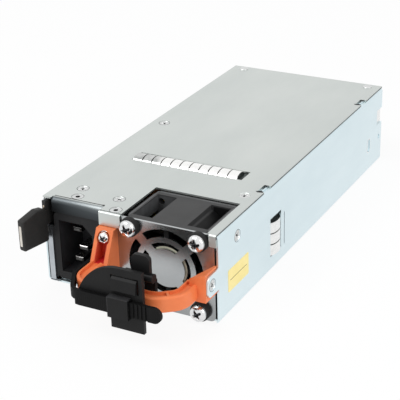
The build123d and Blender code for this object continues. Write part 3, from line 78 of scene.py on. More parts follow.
class Finish:
    """A principled material with detail from object-space textures, scaled in features per mm."""

    def __init__(self, name, **sockets):
        self.mat = bpy.data.materials.new(name)
        self.mat.use_nodes = True
        self.tree = self.mat.node_tree
        self.shader = self.tree.nodes["Principled BSDF"]
        self.coord = self.tree.nodes.new("ShaderNodeTexCoord")
        for socket, value in sockets.items():
            self.shader.inputs[socket.replace("_", " ")].default_value = value

    def place(self, per_mm, stretch):
        mapping = self.tree.nodes.new("ShaderNodeMapping")
        mapping.inputs["Scale"].default_value = [per_mm * s / MM for s in stretch]
        self.tree.links.new(self.coord.outputs["Object"], mapping.inputs["Vector"])
        return mapping.outputs["Vector"]

    def noise(self, per_mm, stretch=(1, 1, 1), detail=3.0, rough=0.55):
        node = self.tree.nodes.new("ShaderNodeTexNoise")
        node.inputs["Scale"].default_value = 1.0
        node.inputs["Detail"].default_value = detail
        node.inputs["Roughness"].default_value = rough
        self.tree.links.new(self.place(per_mm, stretch), node.inputs["Vector"])
        return node.outputs["Fac"]

    def cells(self, per_mm, stretch=(1, 1, 1)):
        node = self.tree.nodes.new("ShaderNodeTexVoronoi")
        node.inputs["Scale"].default_value = 1.0
        self.tree.links.new(self.place(per_mm, stretch), node.inputs["Vector"])
        return node.outputs["Distance"]

    def waves(self, per_mm, direction, distortion=0.3):
        node = self.tree.nodes.new("ShaderNodeTexWave")
        node.bands_direction = direction
        node.inputs["Scale"].default_value = WAVE_SCALE
        node.inputs["Distortion"].default_value = distortion
        self.tree.links.new(self.place(per_mm, (1, 1, 1)), node.inputs["Vector"])
        return node.outputs["Fac"]

    def ramp(self, source, *stops):
        node = self.tree.nodes.new("ShaderNodeValToRGB")
        elements = node.color_ramp.elements
        while len(elements) < len(stops):
            elements.new(0.5)
        for element, (at, colour) in zip(elements, stops):
            element.position = at
            element.color = (*colour, 1.0)
        self.tree.links.new(source, node.inputs["Fac"])
        return node.outputs["Color"]

    def colour(self, source, *stops):
        self.tree.links.new(self.ramp(source, *stops), self.shader.inputs["Base Color"])

    def reach(self, axis, start, end):
        """0 to 1 along an axis of the object, between two places in millimetres."""
        split = self.tree.nodes.new("ShaderNodeSeparateXYZ")
        self.tree.links.new(self.coord.outputs["Object"], split.inputs["Vector"])
        node = self.tree.nodes.new("ShaderNodeMapRange")
        node.inputs["From Min"].default_value = start * MM
        node.inputs["From Max"].default_value = end * MM
        self.tree.links.new(split.outputs[axis], node.inputs["Value"])
        return node.outputs["Result"]

    def join(self, operation, first, second):
        """Math node on two sources or numbers."""
        node = self.tree.nodes.new("ShaderNodeMath")
        node.operation = operation
        for socket, value in zip(node.inputs, (first, second)):
            if isinstance(value, float):
                socket.default_value = value
            else:
                self.tree.links.new(value, socket)
        return node.outputs["Value"]

    def zone(self, soft, **limits):
        """1 inside a box of the object, with soft edges; limits are per axis, in millimetres."""
        mask = None
        for axis, (low, high) in limits.items():
            for side in (self.reach(axis.upper(), low - soft, low + soft),
                         self.reach(axis.upper(), high + soft, high - soft)):
                mask = side if mask is None else self.join("MULTIPLY", mask, side)
        return mask

    def attribute(self, name):
        node = self.tree.nodes.new("ShaderNodeAttribute")
        node.attribute_name = name
        return node.outputs["Fac"]

    def tint(self, mask, source, *stops):
        """Lay another colour over the base colour where the mask is 1."""
        base = self.shader.inputs["Base Color"].links[0].from_socket
        node = self.tree.nodes.new("ShaderNodeMix")
        node.data_type = "RGBA"
        self.tree.links.new(mask, node.inputs["Factor"])
        self.tree.links.new(base, node.inputs[MIX_UNDER])
        self.tree.links.new(self.ramp(source, *stops), node.inputs[MIX_OVER])
        self.tree.links.new(node.outputs[MIX_RESULT], self.shader.inputs["Base Color"])

    def patch(self, box, soft, per_mm, dark, light, detail=3.0):
        """Lay clouds of two other colours over the base colour in a box of the object."""
        self.tint(self.zone(soft, **box), self.noise(per_mm, detail=detail),
                  *clouded(dark, light))

    def recess(self, dark, light):
        """Painted shade: darken the cross recess of a screw head."""
        self.tint(self.attribute("recess"), self.noise(0.8), *clouded(dark, light))

    def roughness(self, source, low, high):
        node = self.tree.nodes.new("ShaderNodeMapRange")
        node.inputs["To Min"].default_value = low
        node.inputs["To Max"].default_value = high
        self.tree.links.new(source, node.inputs["Value"])
        self.tree.links.new(node.outputs["Result"], self.shader.inputs["Roughness"])

    def bump(self, source, depth_mm, strength=0.6):
        node = self.tree.nodes.new("ShaderNodeBump")
        node.inputs["Strength"].default_value = strength
        node.inputs["Distance"].default_value = depth_mm * MM
        self.tree.links.new(source, node.inputs["Height"])
        self.tree.links.new(node.outputs["Normal"], self.shader.inputs["Normal"])


def sheet_steel(name, dark, light, rough):
    """Zinc-coated sheet: cloudy tint, faint rolling streaks along the case and fine pitting."""
    finish = Finish(name, Metallic=1.0)
    finish.colour(finish.noise(0.035, (1.0, 0.4, 1.0), 5.0, 0.6), (0.25, dark), (0.75, light))
    finish.roughness(finish.noise(2.2, (1.0, 0.03, 1.0), 2.0), *rough)
    finish.bump(finish.noise(3.5, (1.0, 0.12, 1.0), 3.0), 0.006, 0.35)
    return finish


def plated(name, dark, light, rough):
    """Bright plated metal with light handling marks."""
    finish = Finish(name, Metallic=1.0)
    finish.colour(finish.noise(0.5, detail=4.0), *clouded(dark, light))
    finish.roughness(finish.noise(1.4, detail=4.0), *rough)
    finish.bump(finish.noise(5.0, detail=2.0), 0.004, 0.3)
    return finish


def moulded(name, dark, light, rough, grain=4.0, depth=0.012, specular=0.4):
    """Moulded plastic: slight clouding in the colour and a fine spark-eroded grain."""
    finish = Finish(name, Specular_IOR_Level=specular)
    finish.colour(finish.noise(0.12, detail=5.0, rough=0.65), (0.25, dark), (0.75, light))
    finish.roughness(finish.noise(0.9, detail=4.0), *rough)
    finish.bump(finish.noise(grain, detail=2.0), depth, 0.5)
    return finish


def wound(name, dark, light, direction, turns_per_mm, metallic=0.0):
    """Tape or wire wound round a core, as ridges across it."""
    finish = Finish(name, Metallic=metallic)
    ridges = finish.waves(turns_per_mm, direction)
    finish.colour(ridges, (0.15, dark), (0.8, light))
    finish.roughness(finish.noise(1.0), 0.35, 0.55)
    finish.bump(ridges, 0.2, 0.8)
    return finish


# sheet metal
cover_steel = sheet_steel("cover_steel", (0.565, 0.600, 0.585), (0.640, 0.670, 0.650),
                          (0.34, 0.44))
# painted reflection and shade: the lip over the inlet is painted dark under the edge and lighter
# towards its top and right end, for its dark reflection and bright right end
lip_rise = cover_steel.join("MULTIPLY", cover_steel.reach("Z", 34.0, 39.4), 0.7)
lip_run = cover_steel.join("MULTIPLY", cover_steel.reach("X", -37.5, -12.6), 0.3)
cover_steel.tint(cover_steel.zone(0.12, **LIP_PAINTED_REFLECTION), cover_steel.join("ADD", lip_rise, lip_run),
                 (0.10, (0.040, 0.044, 0.047)), (0.55, (0.066, 0.075, 0.081)),
                 (0.78, (0.130, 0.145, 0.152)), (0.97, (0.300, 0.325, 0.330)))
# painted shade: the gap between the cover's cut edge and the right wall, painted dark on the
# cover's edge
cover_steel.patch(COVER_SEAM_SHADE, 0.05, 0.3, (0.085, 0.098, 0.098), (0.135, 0.150, 0.150))
tray_steel = sheet_steel("tray_steel", (0.660, 0.775, 0.815), (0.755, 0.860, 0.895), (0.28, 0.38))
# the turned-in front edge beside the inlet is greyer
tray_steel.patch(TRAY_FRONT, 0.06, 0.2, (0.400, 0.430, 0.460), (0.500, 0.530, 0.560), 4.0)
panel_steel = sheet_steel("panel_steel", (0.430, 0.452, 0.462), (0.510, 0.528, 0.532),
                          (0.20, 0.30))
# painted shade: the front panel is painted darker towards its foot
panel_steel.patch(PANEL_FOOT_SHADE, 11.0, 0.05, (0.290, 0.305, 0.312), (0.350, 0.362, 0.366), 4.0)

# plated metal
spring_metal = plated("spring_metal", (0.780, 0.785, 0.780), (0.880, 0.880, 0.870), (0.16, 0.28))
finger_metal = plated("finger_metal", (0.900, 0.900, 0.890), (0.960, 0.960, 0.945), (0.20, 0.32))
# painted reflection: the first fingers at the left are painted darker for the dark surroundings
# they reflect
finger_metal.tint(finger_metal.zone(1.5, **FINGERS_DARK_REFLECTION),
                  finger_metal.noise(0.35, detail=4.0),
                  (0.35, (0.330, 0.345, 0.340)), (0.65, (0.560, 0.575, 0.565)))
latch_steel = plated("latch_steel", (0.600, 0.500, 0.385), (0.720, 0.615, 0.490), (0.24, 0.38))
# the hook that stands out of the left wall is painted near black, and the arm's bare end is paler
latch_steel.patch(LATCH_HOOK, 0.1, 0.5, (0.030, 0.030, 0.030), (0.060, 0.060, 0.060))
latch_steel.patch(LATCH_END, 0.04, 0.5, (0.640, 0.600, 0.540), (0.740, 0.700, 0.640))
chrome = plated("bright_chrome", (0.700, 0.705, 0.715), (0.840, 0.840, 0.840), (0.10, 0.22))
# painted shade in the cross recesses of the pan heads
chrome.recess((0.030, 0.030, 0.032), (0.075, 0.075, 0.078))
flat_zinc = plated("flat_zinc", (0.600, 0.612, 0.610), (0.720, 0.730, 0.725), (0.24, 0.38))
# painted shade in the cross recesses of the flat heads
flat_zinc.recess((0.080, 0.082, 0.082), (0.160, 0.162, 0.160))
# painted shade: the pins' nickel is painted near black for the shade of the inlet's deep cavity
nickel_shade_and_glint = plated("nickel_pins_shade_and_glint", (0.055, 0.054, 0.053), (0.095, 0.094, 0.092), (0.22, 0.34))
# painted highlight: bright bands along the upper edges of the three pins
for pin_z in INLET_PIN_Z:
    nickel_shade_and_glint.patch(dict(z=(pin_z + 0.72, pin_z + 1.2)), 0.08, 0.7,
                 (0.420, 0.412, 0.400), (0.560, 0.550, 0.535))
brass = plated("turned_brass", (0.560, 0.400, 0.150), (0.720, 0.540, 0.240), (0.24, 0.40))
gold = plated("gold_plate", (0.760, 0.540, 0.190), (0.880, 0.680, 0.300), (0.18, 0.30))
copper = plated("tinned_copper", (0.560, 0.290, 0.150), (0.720, 0.420, 0.250), (0.26, 0.42))
aluminium = sheet_steel("extruded_aluminium", (0.640, 0.650, 0.660), (0.740, 0.745, 0.750),
                        (0.34, 0.48))

# black mouldings
clamp_black = moulded("clamp_black", (0.0040, 0.0040, 0.0042), (0.0080, 0.0080, 0.0082),
                      (0.44, 0.58), specular=0.21)
# painted highlights on the top and left edge of the buckle
for highlight_box, highlight_soft in ((BUCKLE_TOP_HIGHLIGHT, 0.15), (BUCKLE_LEFT_HIGHLIGHT, 0.10)):
    clamp_black.patch(highlight_box, highlight_soft, 0.6,
                      (0.020, 0.020, 0.021), (0.040, 0.040, 0.042), 4.0)
strap_black = moulded("strap_black", (0.0026, 0.0026, 0.0027), (0.0048, 0.0048, 0.0049),
                      (0.48, 0.62), specular=0.13)
strap_black.bump(strap_black.waves(1.0, "X"), 0.06, 0.5)
grip_black = moulded("grip_black", (0.0120, 0.0116, 0.0112), (0.0210, 0.0204, 0.0196),
                     (0.46, 0.60), specular=0.30)
inlet_black = moulded("inlet_black", (0.0085, 0.0086, 0.0092), (0.0140, 0.0142, 0.0150),
                      (0.45, 0.60), specular=0.26)
# painted light: the cavity's walls are painted paler, standing in for light that the deep cavity
# lacks
inlet_black.patch(INLET_CAVITY_LIGHT, 0.2, 0.2, (0.022, 0.022, 0.024), (0.034, 0.034, 0.037))
fan_black = moulded("fan_black", (0.0450, 0.0452, 0.0456), (0.0580, 0.0582, 0.0586),
                    (0.34, 0.46), grain=3.0, specular=0.11)
# painted light and shade: the left pocket on top is painted paler and the right one darker, and
# the spokes behind the guard are painted dark for their shade
fan_black.patch(LEFT_POCKET_LIGHT, 0.3, 0.3, (0.066, 0.067, 0.069), (0.084, 0.086, 0.088))
fan_black.patch(RIGHT_POCKET_SHADE, 0.3, 0.3, (0.0060, 0.0060, 0.0062), (0.0100, 0.0100, 0.0102))
fan_black.patch(BEHIND_GUARD_SHADE, 0.3, 0.4, (0.0060, 0.0060, 0.0060), (0.0095, 0.0095, 0.0095))
# painted highlight for the edges on top of the fan's frame
rim_highlight_black = moulded("rim_highlight_black", (0.060, 0.061, 0.063), (0.120, 0.121, 0.124),
                     (0.40, 0.55), 2.0, 0.02)
blade_black = moulded("blade_black", (0.0040, 0.0040, 0.0042), (0.0075, 0.0075, 0.0078),
                      (0.45, 0.60), specular=0.18)
inner_black = moulded("component_black", (0.0120, 0.0120, 0.0125), (0.0220, 0.0220, 0.0225),
                      (0.40, 0.55))
wire_black = moulded("wire_sleeve", (0.0150, 0.0150, 0.0150), (0.0260, 0.0260, 0.0260),
                     (0.35, 0.50), grain=1.5)
rubber_black = moulded("grommet_rubber", (0.0075, 0.0075, 0.0075), (0.0130, 0.0130, 0.0130),
                       (0.58, 0.72), 2.5, 0.02, 0.25)

# coloured mouldings, windings and labels
orange = moulded("handle_orange", (0.760, 0.178, 0.056), (0.850, 0.222, 0.074),
                 (0.38, 0.50), 3.5, 0.012, 0.40)
# painted shade: the thin web deep in the foot's channel is painted a deeper red
orange.patch(FOOT_WEB_SHADE, 0.35, 0.4, (0.500, 0.012, 0.017), (0.600, 0.020, 0.023), 4.0)
yellow = moulded("component_yellow", (0.690, 0.490, 0.070), (0.780, 0.580, 0.110), (0.36, 0.50))
ceramic = moulded("fuse_ceramic", (0.640, 0.610, 0.540), (0.740, 0.710, 0.640), (0.30, 0.45))
ferrite = moulded("ferrite_grey", (0.045, 0.045, 0.047), (0.085, 0.085, 0.087),
                  (0.50, 0.68), 1.2, 0.04)
sleeve = moulded("can_sleeve", (0.022, 0.026, 0.060), (0.036, 0.042, 0.090),
                 (0.22, 0.34), 1.0, 0.01, 0.5)
tape = wound("wound_tape", (0.560, 0.420, 0.090), (0.740, 0.590, 0.160), "Y", 0.5)
winding = wound("wound_copper", (0.260, 0.085, 0.025), (0.560, 0.240, 0.080), "Y", 1.2, 0.7)
# painted shade for gaps, seams, bends and notch corners, and the ink of the sticker's printed rule
shade_and_print_dark = moulded("painted_shade_and_print", (0.010, 0.010, 0.011), (0.022, 0.022, 0.024),
                    (0.60, 0.75), 2.0, 0.01, 0.2)
# painted shade: plated rails painted dark grey for the shade inside the finger slots
rail_painted_shade = plated("rail_painted_shade", (0.080, 0.092, 0.090), (0.125, 0.140, 0.138), (0.35, 0.50))
label_paper = moulded("label_paper", (0.500, 0.490, 0.380), (0.600, 0.585, 0.460),
                      (0.50, 0.65), 1.5, 0.01, 0.3)

film = Finish("clear_film", Specular_IOR_Level=0.5)
film.colour(film.noise(0.05, detail=4.0), *clouded((0.60, 0.60, 0.54), (0.70, 0.70, 0.64)))
film.roughness(film.noise(0.8), 0.20, 0.32)

board = Finish("solder_mask", Specular_IOR_Level=0.5)
tracks = board.cells(0.35, (1.0, 0.35, 1.0))
board.colour(tracks, (0.18, (0.030, 0.165, 0.060)), (0.30, (0.014, 0.100, 0.034)))
board.roughness(board.noise(1.2), 0.25, 0.40)
board.bump(tracks, 0.03, 0.4)

sticker = Finish("sticker_yellow", Specular_IOR_Level=0.4)
sticker.colour(sticker.noise(0.25, detail=5.0),
               *clouded((0.880, 0.730, 0.270), (0.930, 0.790, 0.350)))
sticker.roughness(sticker.noise(1.5), 0.42, 0.58)
sticker.bump(sticker.noise(1.0), 0.01, 0.3)

dress = {
    cover_steel: ["top_cover"],
    tray_steel: ["base_tray", "rear_panel"],
    panel_steel: ["front_panel"],
    finger_metal: ["top_fingers"],
    spring_metal: ["side_fingers"],
    latch_steel: ["latch_arm"],
    chrome: ["fan_screws", "handle_front_screw", "handle_flat_washer", "handle_lock_washer",
             "handle_nut", "latch_rivets", "board_screws", "fan_shaft"],
    flat_zinc: ["side_screws", "cover_screws", "cover_rivets"],
    nickel_shade_and_glint: ["inlet_pins"],
    brass: ["board_standoffs", "fan_bearings"],
    gold: ["edge_contacts"],
    copper: ["output_busbars"],
    aluminium: ["secondary_heatsink"],
    clamp_black: ["clamp_body", "clamp_lever", "clamp_pin"],
    strap_black: ["clamp_strap"],
    grip_black: ["latch_grip"],
    inlet_black: ["ac_inlet"],
    fan_black: ["fan_frame"],
    blade_black: ["fan_impeller"],
    inner_black: ["relay", "bridge_rectifier", "power_transistors"],
    wire_black: ["inlet_wires"],
    rubber_black: ["fan_grommets"],
    orange: ["handle"],
    yellow: ["x_capacitors"],
    ceramic: ["fuse"],
    ferrite: ["fan_stator", "fan_magnet", "transformer_core"],
    sleeve: ["bulk_capacitors", "output_capacitors"],
    tape: ["transformer_winding", "standby_transformer"],
    winding: ["boost_choke", "filter_chokes"],
    film: ["insulator_sheet"],
    board: ["main_board", "control_board", "fan_driver_board"],
}
for finish, names in dress.items():
    for name in names:
        nodes[name].data.materials.clear()
        nodes[name].data.materials.append(finish.mat)


# ---------------------------------------------------------------- pieces
def piece(name, mesh, finish, body="case", stands_for=()):
    """Turn a bmesh in millimetres into a piece that rides on a body."""
    data = bpy.data.meshes.new(name)
    bmesh.ops.recalc_face_normals(mesh, faces=mesh.faces)
    mesh.to_mesh(data)
    mesh.free()
    data.transform(Matrix.Scale(MM, 4))
    data.materials.append(finish.mat)
    obj = bpy.data.objects.new(name, data)
    bpy.context.scene.collection.objects.link(obj)
    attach(obj, body)
    if stands_for:
        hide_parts(*stands_for)
    return obj


def smooth(obj, degrees):
    """Smooth shading with the sharp edges kept."""
    obj.data.shade_smooth()
    obj.data.set_sharp_from_angle(angle=math.radians(degrees))


def circle(radius, steps=48):
    """Points of a circle."""
    turn = 2 * math.pi / steps
    return [(radius * math.cos(i * turn), radius * math.sin(i * turn)) for i in range(steps)]


def rounded(a_low, a_high, b_low, b_high, radius, steps=6):
    """Corner points of a rounded rectangle."""
    points = []
    corners = ((a_high, b_high, 0), (a_low, b_high, 90), (a_low, b_low, 180), (a_high, b_low, 270))
    for a, b, start in corners:
        ca = a - radius if a == a_high else a + radius
        cb = b - radius if b == b_high else b + radius
        for step in range(steps + 1):
            angle = math.radians(start + 90 * step / steps)
            points.append((ca + radius * math.cos(angle), cb + radius * math.sin(angle)))
    return points


def softened(corners, radius, steps=5):
    """Outline of a convex polygon with its corners rounded."""
    points = []
    for i, corner in enumerate(corners):
        here = Vector(corner)
        back = (Vector(corners[i - 1]) - here).normalized()
        onward = (Vector(corners[(i + 1) % len(corners)]) - here).normalized()
        half = back.angle(onward) / 2
        centre = here + (back + onward).normalized() * radius / math.sin(half)
        start = here + back * radius / math.tan(half) - centre
        sweep = start.angle_signed(here + onward * radius / math.tan(half) - centre)
        for step in range(steps + 1):
            turned = start.copy()
            turned.rotate(Matrix.Rotation(-sweep * step / steps, 2))
            points.append(tuple(centre + turned))
    return points


def arched(middle, half, base, rise, steps=16):
    """Outline of half an ellipse that stands on a base."""
    turns = [math.pi * i / steps for i in range(steps + 1)]
    return [(middle + half * math.cos(t), base + rise * math.sin(t)) for t in turns]


def on_cover(x=0.0, y=0.0):
    """Lay an outline level, moved to a place; levels are heights."""
    return lambda a, b, level: (x + a, y + b, level)


def on_wall(y=0.0, z=0.0):
    """Lay an outline along the right wall, moved to a place; levels run outwards."""
    return lambda a, b, level: (level, y + a, z + b)


def on_front(x=0.0, z=0.0):
    """Lay an outline along the front, moved to a place; levels run to the rear."""
    return lambda a, b, level: (x + a, level, z + b)


def plate(mesh, points, low, high, where):
    """Flat plate with the given outline between two levels."""
    bottom = [mesh.verts.new(where(a, b, low)) for a, b in points]
    top = [mesh.verts.new(where(a, b, high)) for a, b in points]
    mesh.faces.new(bottom)
    mesh.faces.new(top)
    for i in range(len(points)):
        j = (i + 1) % len(points)
        mesh.faces.new((bottom[i], bottom[j], top[j], top[i]))


def band(mesh, inner, outer, low, high, where):
    """Flat band between two outlines and two levels."""
    rows = []
    for points, level in ((inner, low), (outer, low), (outer, high), (inner, high)):
        rows.append([mesh.verts.new(where(a, b, level)) for a, b in points])
    for one, two in zip(rows, rows[1:] + rows[:1]):
        for i in range(len(inner)):
            j = (i + 1) % len(inner)
            mesh.faces.new((one[i], one[j], two[j], two[i]))


# ---------------------------------------------------------------- screws with a cross recess
def facing(direction):
    """Matrix that turns local +Z to a direction."""
    return Vector((0, 0, 1)).rotation_difference(Vector(direction)).to_matrix().to_4x4()


def cross_depth(x, y, reach, width, depth):
    """Depth of a cross recess at a point of a head: four tapered wings that run out to nothing."""
    taper, flank = 0.45, 0.16
    deepest = 0.0
    for u, v in ((x, y), (y, x)):
        along = abs(u) / reach
        if along < 1.0:
            half = width * (1.0 - taper * along) / 2
            inside = min(1.0, max(0.0, (half - abs(v)) / flank + 0.5))
            deepest = max(deepest, depth * (1.0 - along ** 3) * inside)
    return deepest


def screw_head(mesh, centre, direction, radius, profile, recess, degrees, shank):
    """Head of revolution with a cross recess, on a plain shank that goes into the part.

    The recess has a reach, a width and a depth, and the shank a radius and a length.
    """
    rings, around = 20, 64
    full_shade = 1.6        # painted shade: the recess is painted fully dark well before its deepest point
    recess_shade_layer = mesh.verts.layers.float.get("recess") or mesh.verts.layers.float.new("recess")
    spin = facing(direction) @ Matrix.Rotation(math.radians(degrees), 4, "Z")
    place = Matrix.Translation(Vector(centre)) @ spin
    rows = []
    for ring in range(rings + 1):
        r = radius * ring / rings
        row = []
        for step in range(around if ring else 1):
            angle = 2 * math.pi * step / around
            x = r * math.cos(angle)
            y = r * math.sin(angle)
            sunk = cross_depth(x, y, *recess)
            row.append(mesh.verts.new(place @ Vector((x, y, profile(r / radius) - sunk))))
            row[-1][recess_shade_layer] = min(1.0, full_shade * sunk / recess[2])
        rows.append(row)
    for depth, r in ((0.0, radius), (0.0, shank[0]), (-shank[1], shank[0])):
        row = []
        for step in range(around):
            angle = 2 * math.pi * step / around
            rim = Vector((r * math.cos(angle), r * math.sin(angle), depth))
            row.append(mesh.verts.new(place @ rim))
        rows.append(row)
    for step in range(around):
        nxt = (step + 1) % around
        mesh.faces.new((rows[0][0], rows[1][step], rows[1][nxt]))
        for low, high in zip(rows[1:-1], rows[2:]):
            mesh.faces.new((low[step], high[step], high[nxt], low[nxt]))
    mesh.faces.new(rows[-1])


def pan_profile(height):
    """Domed pan head with a short upright rim."""
    return lambda t: height * (0.30 + 0.70 * math.sqrt(max(0.0, 1.0 - t ** 3.2)))


def flat_profile(height):
    """Flat countersunk head with a slightly rounded rim."""
    return lambda t: height * (1.0 - 0.25 * max(0.0, t - 0.85) / 0.15)


PAN_HEIGHT = 2.2
FLAT_RADIUS, FLAT_HEIGHT = 2.45, 0.6
FLAT_SEAT = 0.7         # depth of a flat head's underside below the sheet's face
FLAT_RECESS = (1.45, 0.8, 0.75)

pan_screws = bmesh.new()
for sx, sz, turn in ((-1, 1, 24), (1, 1, 12), (1, -1, 33), (-1, -1, 50)):
    screw_head(pan_screws, (FAN_X + sx * FAN_SCREW_OFFSET, -2.4, FAN_Z + sz * FAN_SCREW_OFFSET),
               (0, -1, 0), 3.6, pan_profile(PAN_HEIGHT), (2.35, 1.25, 1.35), turn, (1.45, 6.7))
smooth(piece("fan_pan_screws", pan_screws, chrome, "case", ["fan_screws"]), 50)

foot_screw = bmesh.new()
screw_head(foot_screw, (-8.1, -3.6, 30.1), (0, -1, 0), 2.5, pan_profile(PAN_HEIGHT),
           (1.7, 0.95, 1.2), 40, (1.25, 6.9))
smooth(piece("handle_pan_screw", foot_screw, chrome, "case",
             ["handle_front_screw"]), 50)

lid_screws = bmesh.new()
for x, y, turn in COVER_SCREWS:
    screw_head(lid_screws, (x, y, COVER_TOP - FLAT_SEAT), (0, 0, 1), FLAT_RADIUS,
               flat_profile(FLAT_HEIGHT), FLAT_RECESS, turn, (1.75, 4.2))
smooth(piece("cover_flat_screws", lid_screws, flat_zinc, "case",
             ["cover_screws"]), 40)

wall_screws = bmesh.new()
for y, z, turn in WALL_SCREWS:
    screw_head(wall_screws, (WALL_FACE - FLAT_SEAT, y, z), (1, 0, 0), FLAT_RADIUS,
               flat_profile(FLAT_HEIGHT), FLAT_RECESS, turn, (1.75, 3.4))
smooth(piece("side_flat_screws", wall_screws, flat_zinc, "case",
             ["side_screws"]), 40)

# ---------------------------------------------------------------- latch grip
# thicker and rounder than its solid, on the arm's splayed end
SPLAY_FOOT = Vector((-40.908, 1.2))
SPLAY_RUN = Vector((-0.22106, -0.97526))
SPLAY_OUT = Vector((-0.97526, 0.22106))
GRIP_OUTLINE = [(0.0, 20.0), (14.1, 20.0), (14.1, 34.0), (5.8, 36.3), (2.2, 35.7), (0.0, 34.2)]
GRIP_INNER, GRIP_OUTER = -2.2, 1.36
GRIP_CORNER, GRIP_RIM = 1.0, 0.8
SLEEVE_OUTLINE = [(-41.5, 8.0), (-41.5, 3.11), (-41.88, 1.42),
                  (-39.93, 0.98), (-39.5, 2.89), (-39.5, 8.0)]


def splayed(u, w, z):
    """Point at a distance along the splayed arm, one across it and a height."""
    return (*(SPLAY_FOOT + SPLAY_RUN * u + SPLAY_OUT * w), z)


grip = bmesh.new()
plate(grip, softened(GRIP_OUTLINE, GRIP_CORNER), GRIP_INNER, GRIP_OUTER,
      lambda u, z, w: splayed(u, w, z))
bmesh.ops.recalc_face_normals(grip, faces=grip.faces)
caps = [face for face in grip.faces if len(face.verts) > 4]
bmesh.ops.bevel(grip, geom=[edge for face in caps for edge in face.edges], offset=GRIP_RIM,
                offset_type="OFFSET", segments=4, profile=0.5, affect="EDGES", clamp_overlap=False)
plate(grip, SLEEVE_OUTLINE, 27.0, 38.0, on_cover())
smooth(piece("latch_grip_moulded", grip, grip_black, "latch", ["latch_grip"]), 40)
# bare end of the steel, in the end of the grip
core_end = bmesh.new()
plate(core_end, rounded(-1.0, 0.4, 22.2, 31.6, 0.4), 14.06, 14.13,
      lambda w, z, u: splayed(u, w, z))
piece("latch_core_end", core_end, latch_steel, "latch")

# ---------------------------------------------------------------- labels
side_label = bmesh.new()
plate(side_label, rounded(8.3, 27.2, 10.0, 20.0, 0.7), WALL_FACE + 0.005, WALL_FACE + 0.06,
      on_wall())
piece("side_sticker", side_label, sticker)
side_rule = bmesh.new()
plate(side_rule, rounded(10.2, 25.4, 14.9, 15.12, 0.1, 2), WALL_FACE + 0.062, WALL_FACE + 0.075,
      on_wall())
piece("side_sticker_rule", side_rule, shade_and_print_dark)

hub_label = bmesh.new()
plate(hub_label, circle(9.2, 72), 1.2, 1.29, on_front(FAN_X, FAN_Z))
piece("fan_hub_label", hub_label, label_paper)

# ---------------------------------------------------------------- painted shade of gaps and bends, painted highlights and small forms
LINE_LOW, LINE_HIGH = 0.004, 0.02       # faces of a painted line, dark or pale, above the sheet that it lies on
HEAD_GAP = circle(2.56), circle(2.72)
BEND_SHADE_LINES = ((-37.2, -13.2, 4.40, 4.85, 0.2, 3), (-13.6, -12.6, 4.10, 5.20, 0.45, 5),
              (-12.0, -2.6, 0.15, 0.50, 0.15, 3), (-12.2, -11.5, -0.05, 0.70, 0.3, 4),
              (-3.1, -2.4, -0.05, 0.70, 0.3, 4))
NOTCH_FRONT = [(37.7, -3.6), (39.0, -4.5), (41.2, -4.0), (41.3, -3.2), (39.9, -2.4), (38.8, -3.0)]
NOTCH_REAR = [(38.65, 1.9), (39.1, 2.4), (40.3, 2.7), (40.5, 3.4), (38.65, 3.4)]
FRONT_SEAM_SHADES = ((-41.25, -40.85, 1.0, 26.6, 0.15, 3), (-40.9, -35.6, 0.32, 0.62, 0.12, 3))
FAN_TOP = 39.0
RIM_HIGHLIGHT_OUTLINES = ((0.3, 35.9, 27.6, 28.3, 0.3, 3), (35.9, 36.5, 3.0, 28.3, 0.25, 3),
                (-0.5, 0.2, 3.0, 28.3, 0.25, 3))

# painted shade: dark rings for the shaded gaps round the flat heads; the cover's right screw shows
# none
head_gap_shades = bmesh.new()
for x, y in [spot[:2] for spot in COVER_SCREWS[:3]] + list(SPARE_HOLES):
    band(head_gap_shades, *HEAD_GAP, COVER_TOP + LINE_LOW, COVER_TOP + LINE_HIGH, on_cover(x, y))
for y, z, _ in WALL_SCREWS:
    band(head_gap_shades, *HEAD_GAP, WALL_FACE + LINE_LOW, WALL_FACE + LINE_HIGH, on_wall(y, z))
piece("head_gap_shade_rings", head_gap_shades, shade_and_print_dark)

# painted shade: dark lines along the bends of the lip and of the front flap, with their relief
# cuts
bend_shades = bmesh.new()
for outline in BEND_SHADE_LINES:
    plate(bend_shades, rounded(*outline), COVER_TOP + 0.003, COVER_TOP + 0.012, on_cover())
piece("cover_bend_shades", bend_shades, shade_and_print_dark)

# countersinks of the cover's two holes without a screw
hole_rims = bmesh.new()
for x, y in SPARE_HOLES:
    band(hole_rims, circle(1.0), circle(2.50), COVER_TOP - 0.65, COVER_TOP - 0.10, on_cover(x, y))
piece("spare_hole_rims", hole_rims, flat_zinc)

# painted shadow: dark patches in the corners of the notches in the cover's right edge
notch_shadows = bmesh.new()
for y in EDGE_NOTCHES:
    plate(notch_shadows, NOTCH_FRONT, COVER_TOP + LINE_LOW, COVER_TOP + LINE_HIGH, on_cover(0.0, y))
    plate(notch_shadows, NOTCH_REAR, COVER_TOP - 0.20, COVER_TOP - 0.03, on_cover(0.0, y))
piece("edge_notch_shadows", notch_shadows, shade_and_print_dark)

# ends of the finger strips' rails and arches, seen in the spare length of their slots; painted
# shade: their plated metal is painted dark grey for the shade inside the slots
rail_ends = bmesh.new()
plate(rail_ends, rounded(24.6, 28.2, 48.0, 60.5, 0.5), 38.72, 38.95, on_cover())
plate(rail_ends, rounded(46.5, 60.5, 22.6, 26.0, 0.5), 40.70, 40.93, on_wall())
plate(rail_ends, arched(55.5, 4.1, 38.95, 1.85), 24.66, 24.80, on_wall())
side_arch = [(x, y) for y, x in arched(54.5, 5.1, 40.95, 1.85)]
plate(rail_ends, side_arch, 22.70, 22.84, on_cover())
piece("finger_rail_ends", rail_ends, rail_painted_shade)

# painted shade: dark lines for the seams of the tray's front edge beside and under the inlet
front_seam_shades = bmesh.new()
for outline in FRONT_SEAM_SHADES:
    plate(front_seam_shades, rounded(*outline), 2.16, 2.19, on_front())
piece("tray_front_seam_shades", front_seam_shades, shade_and_print_dark)

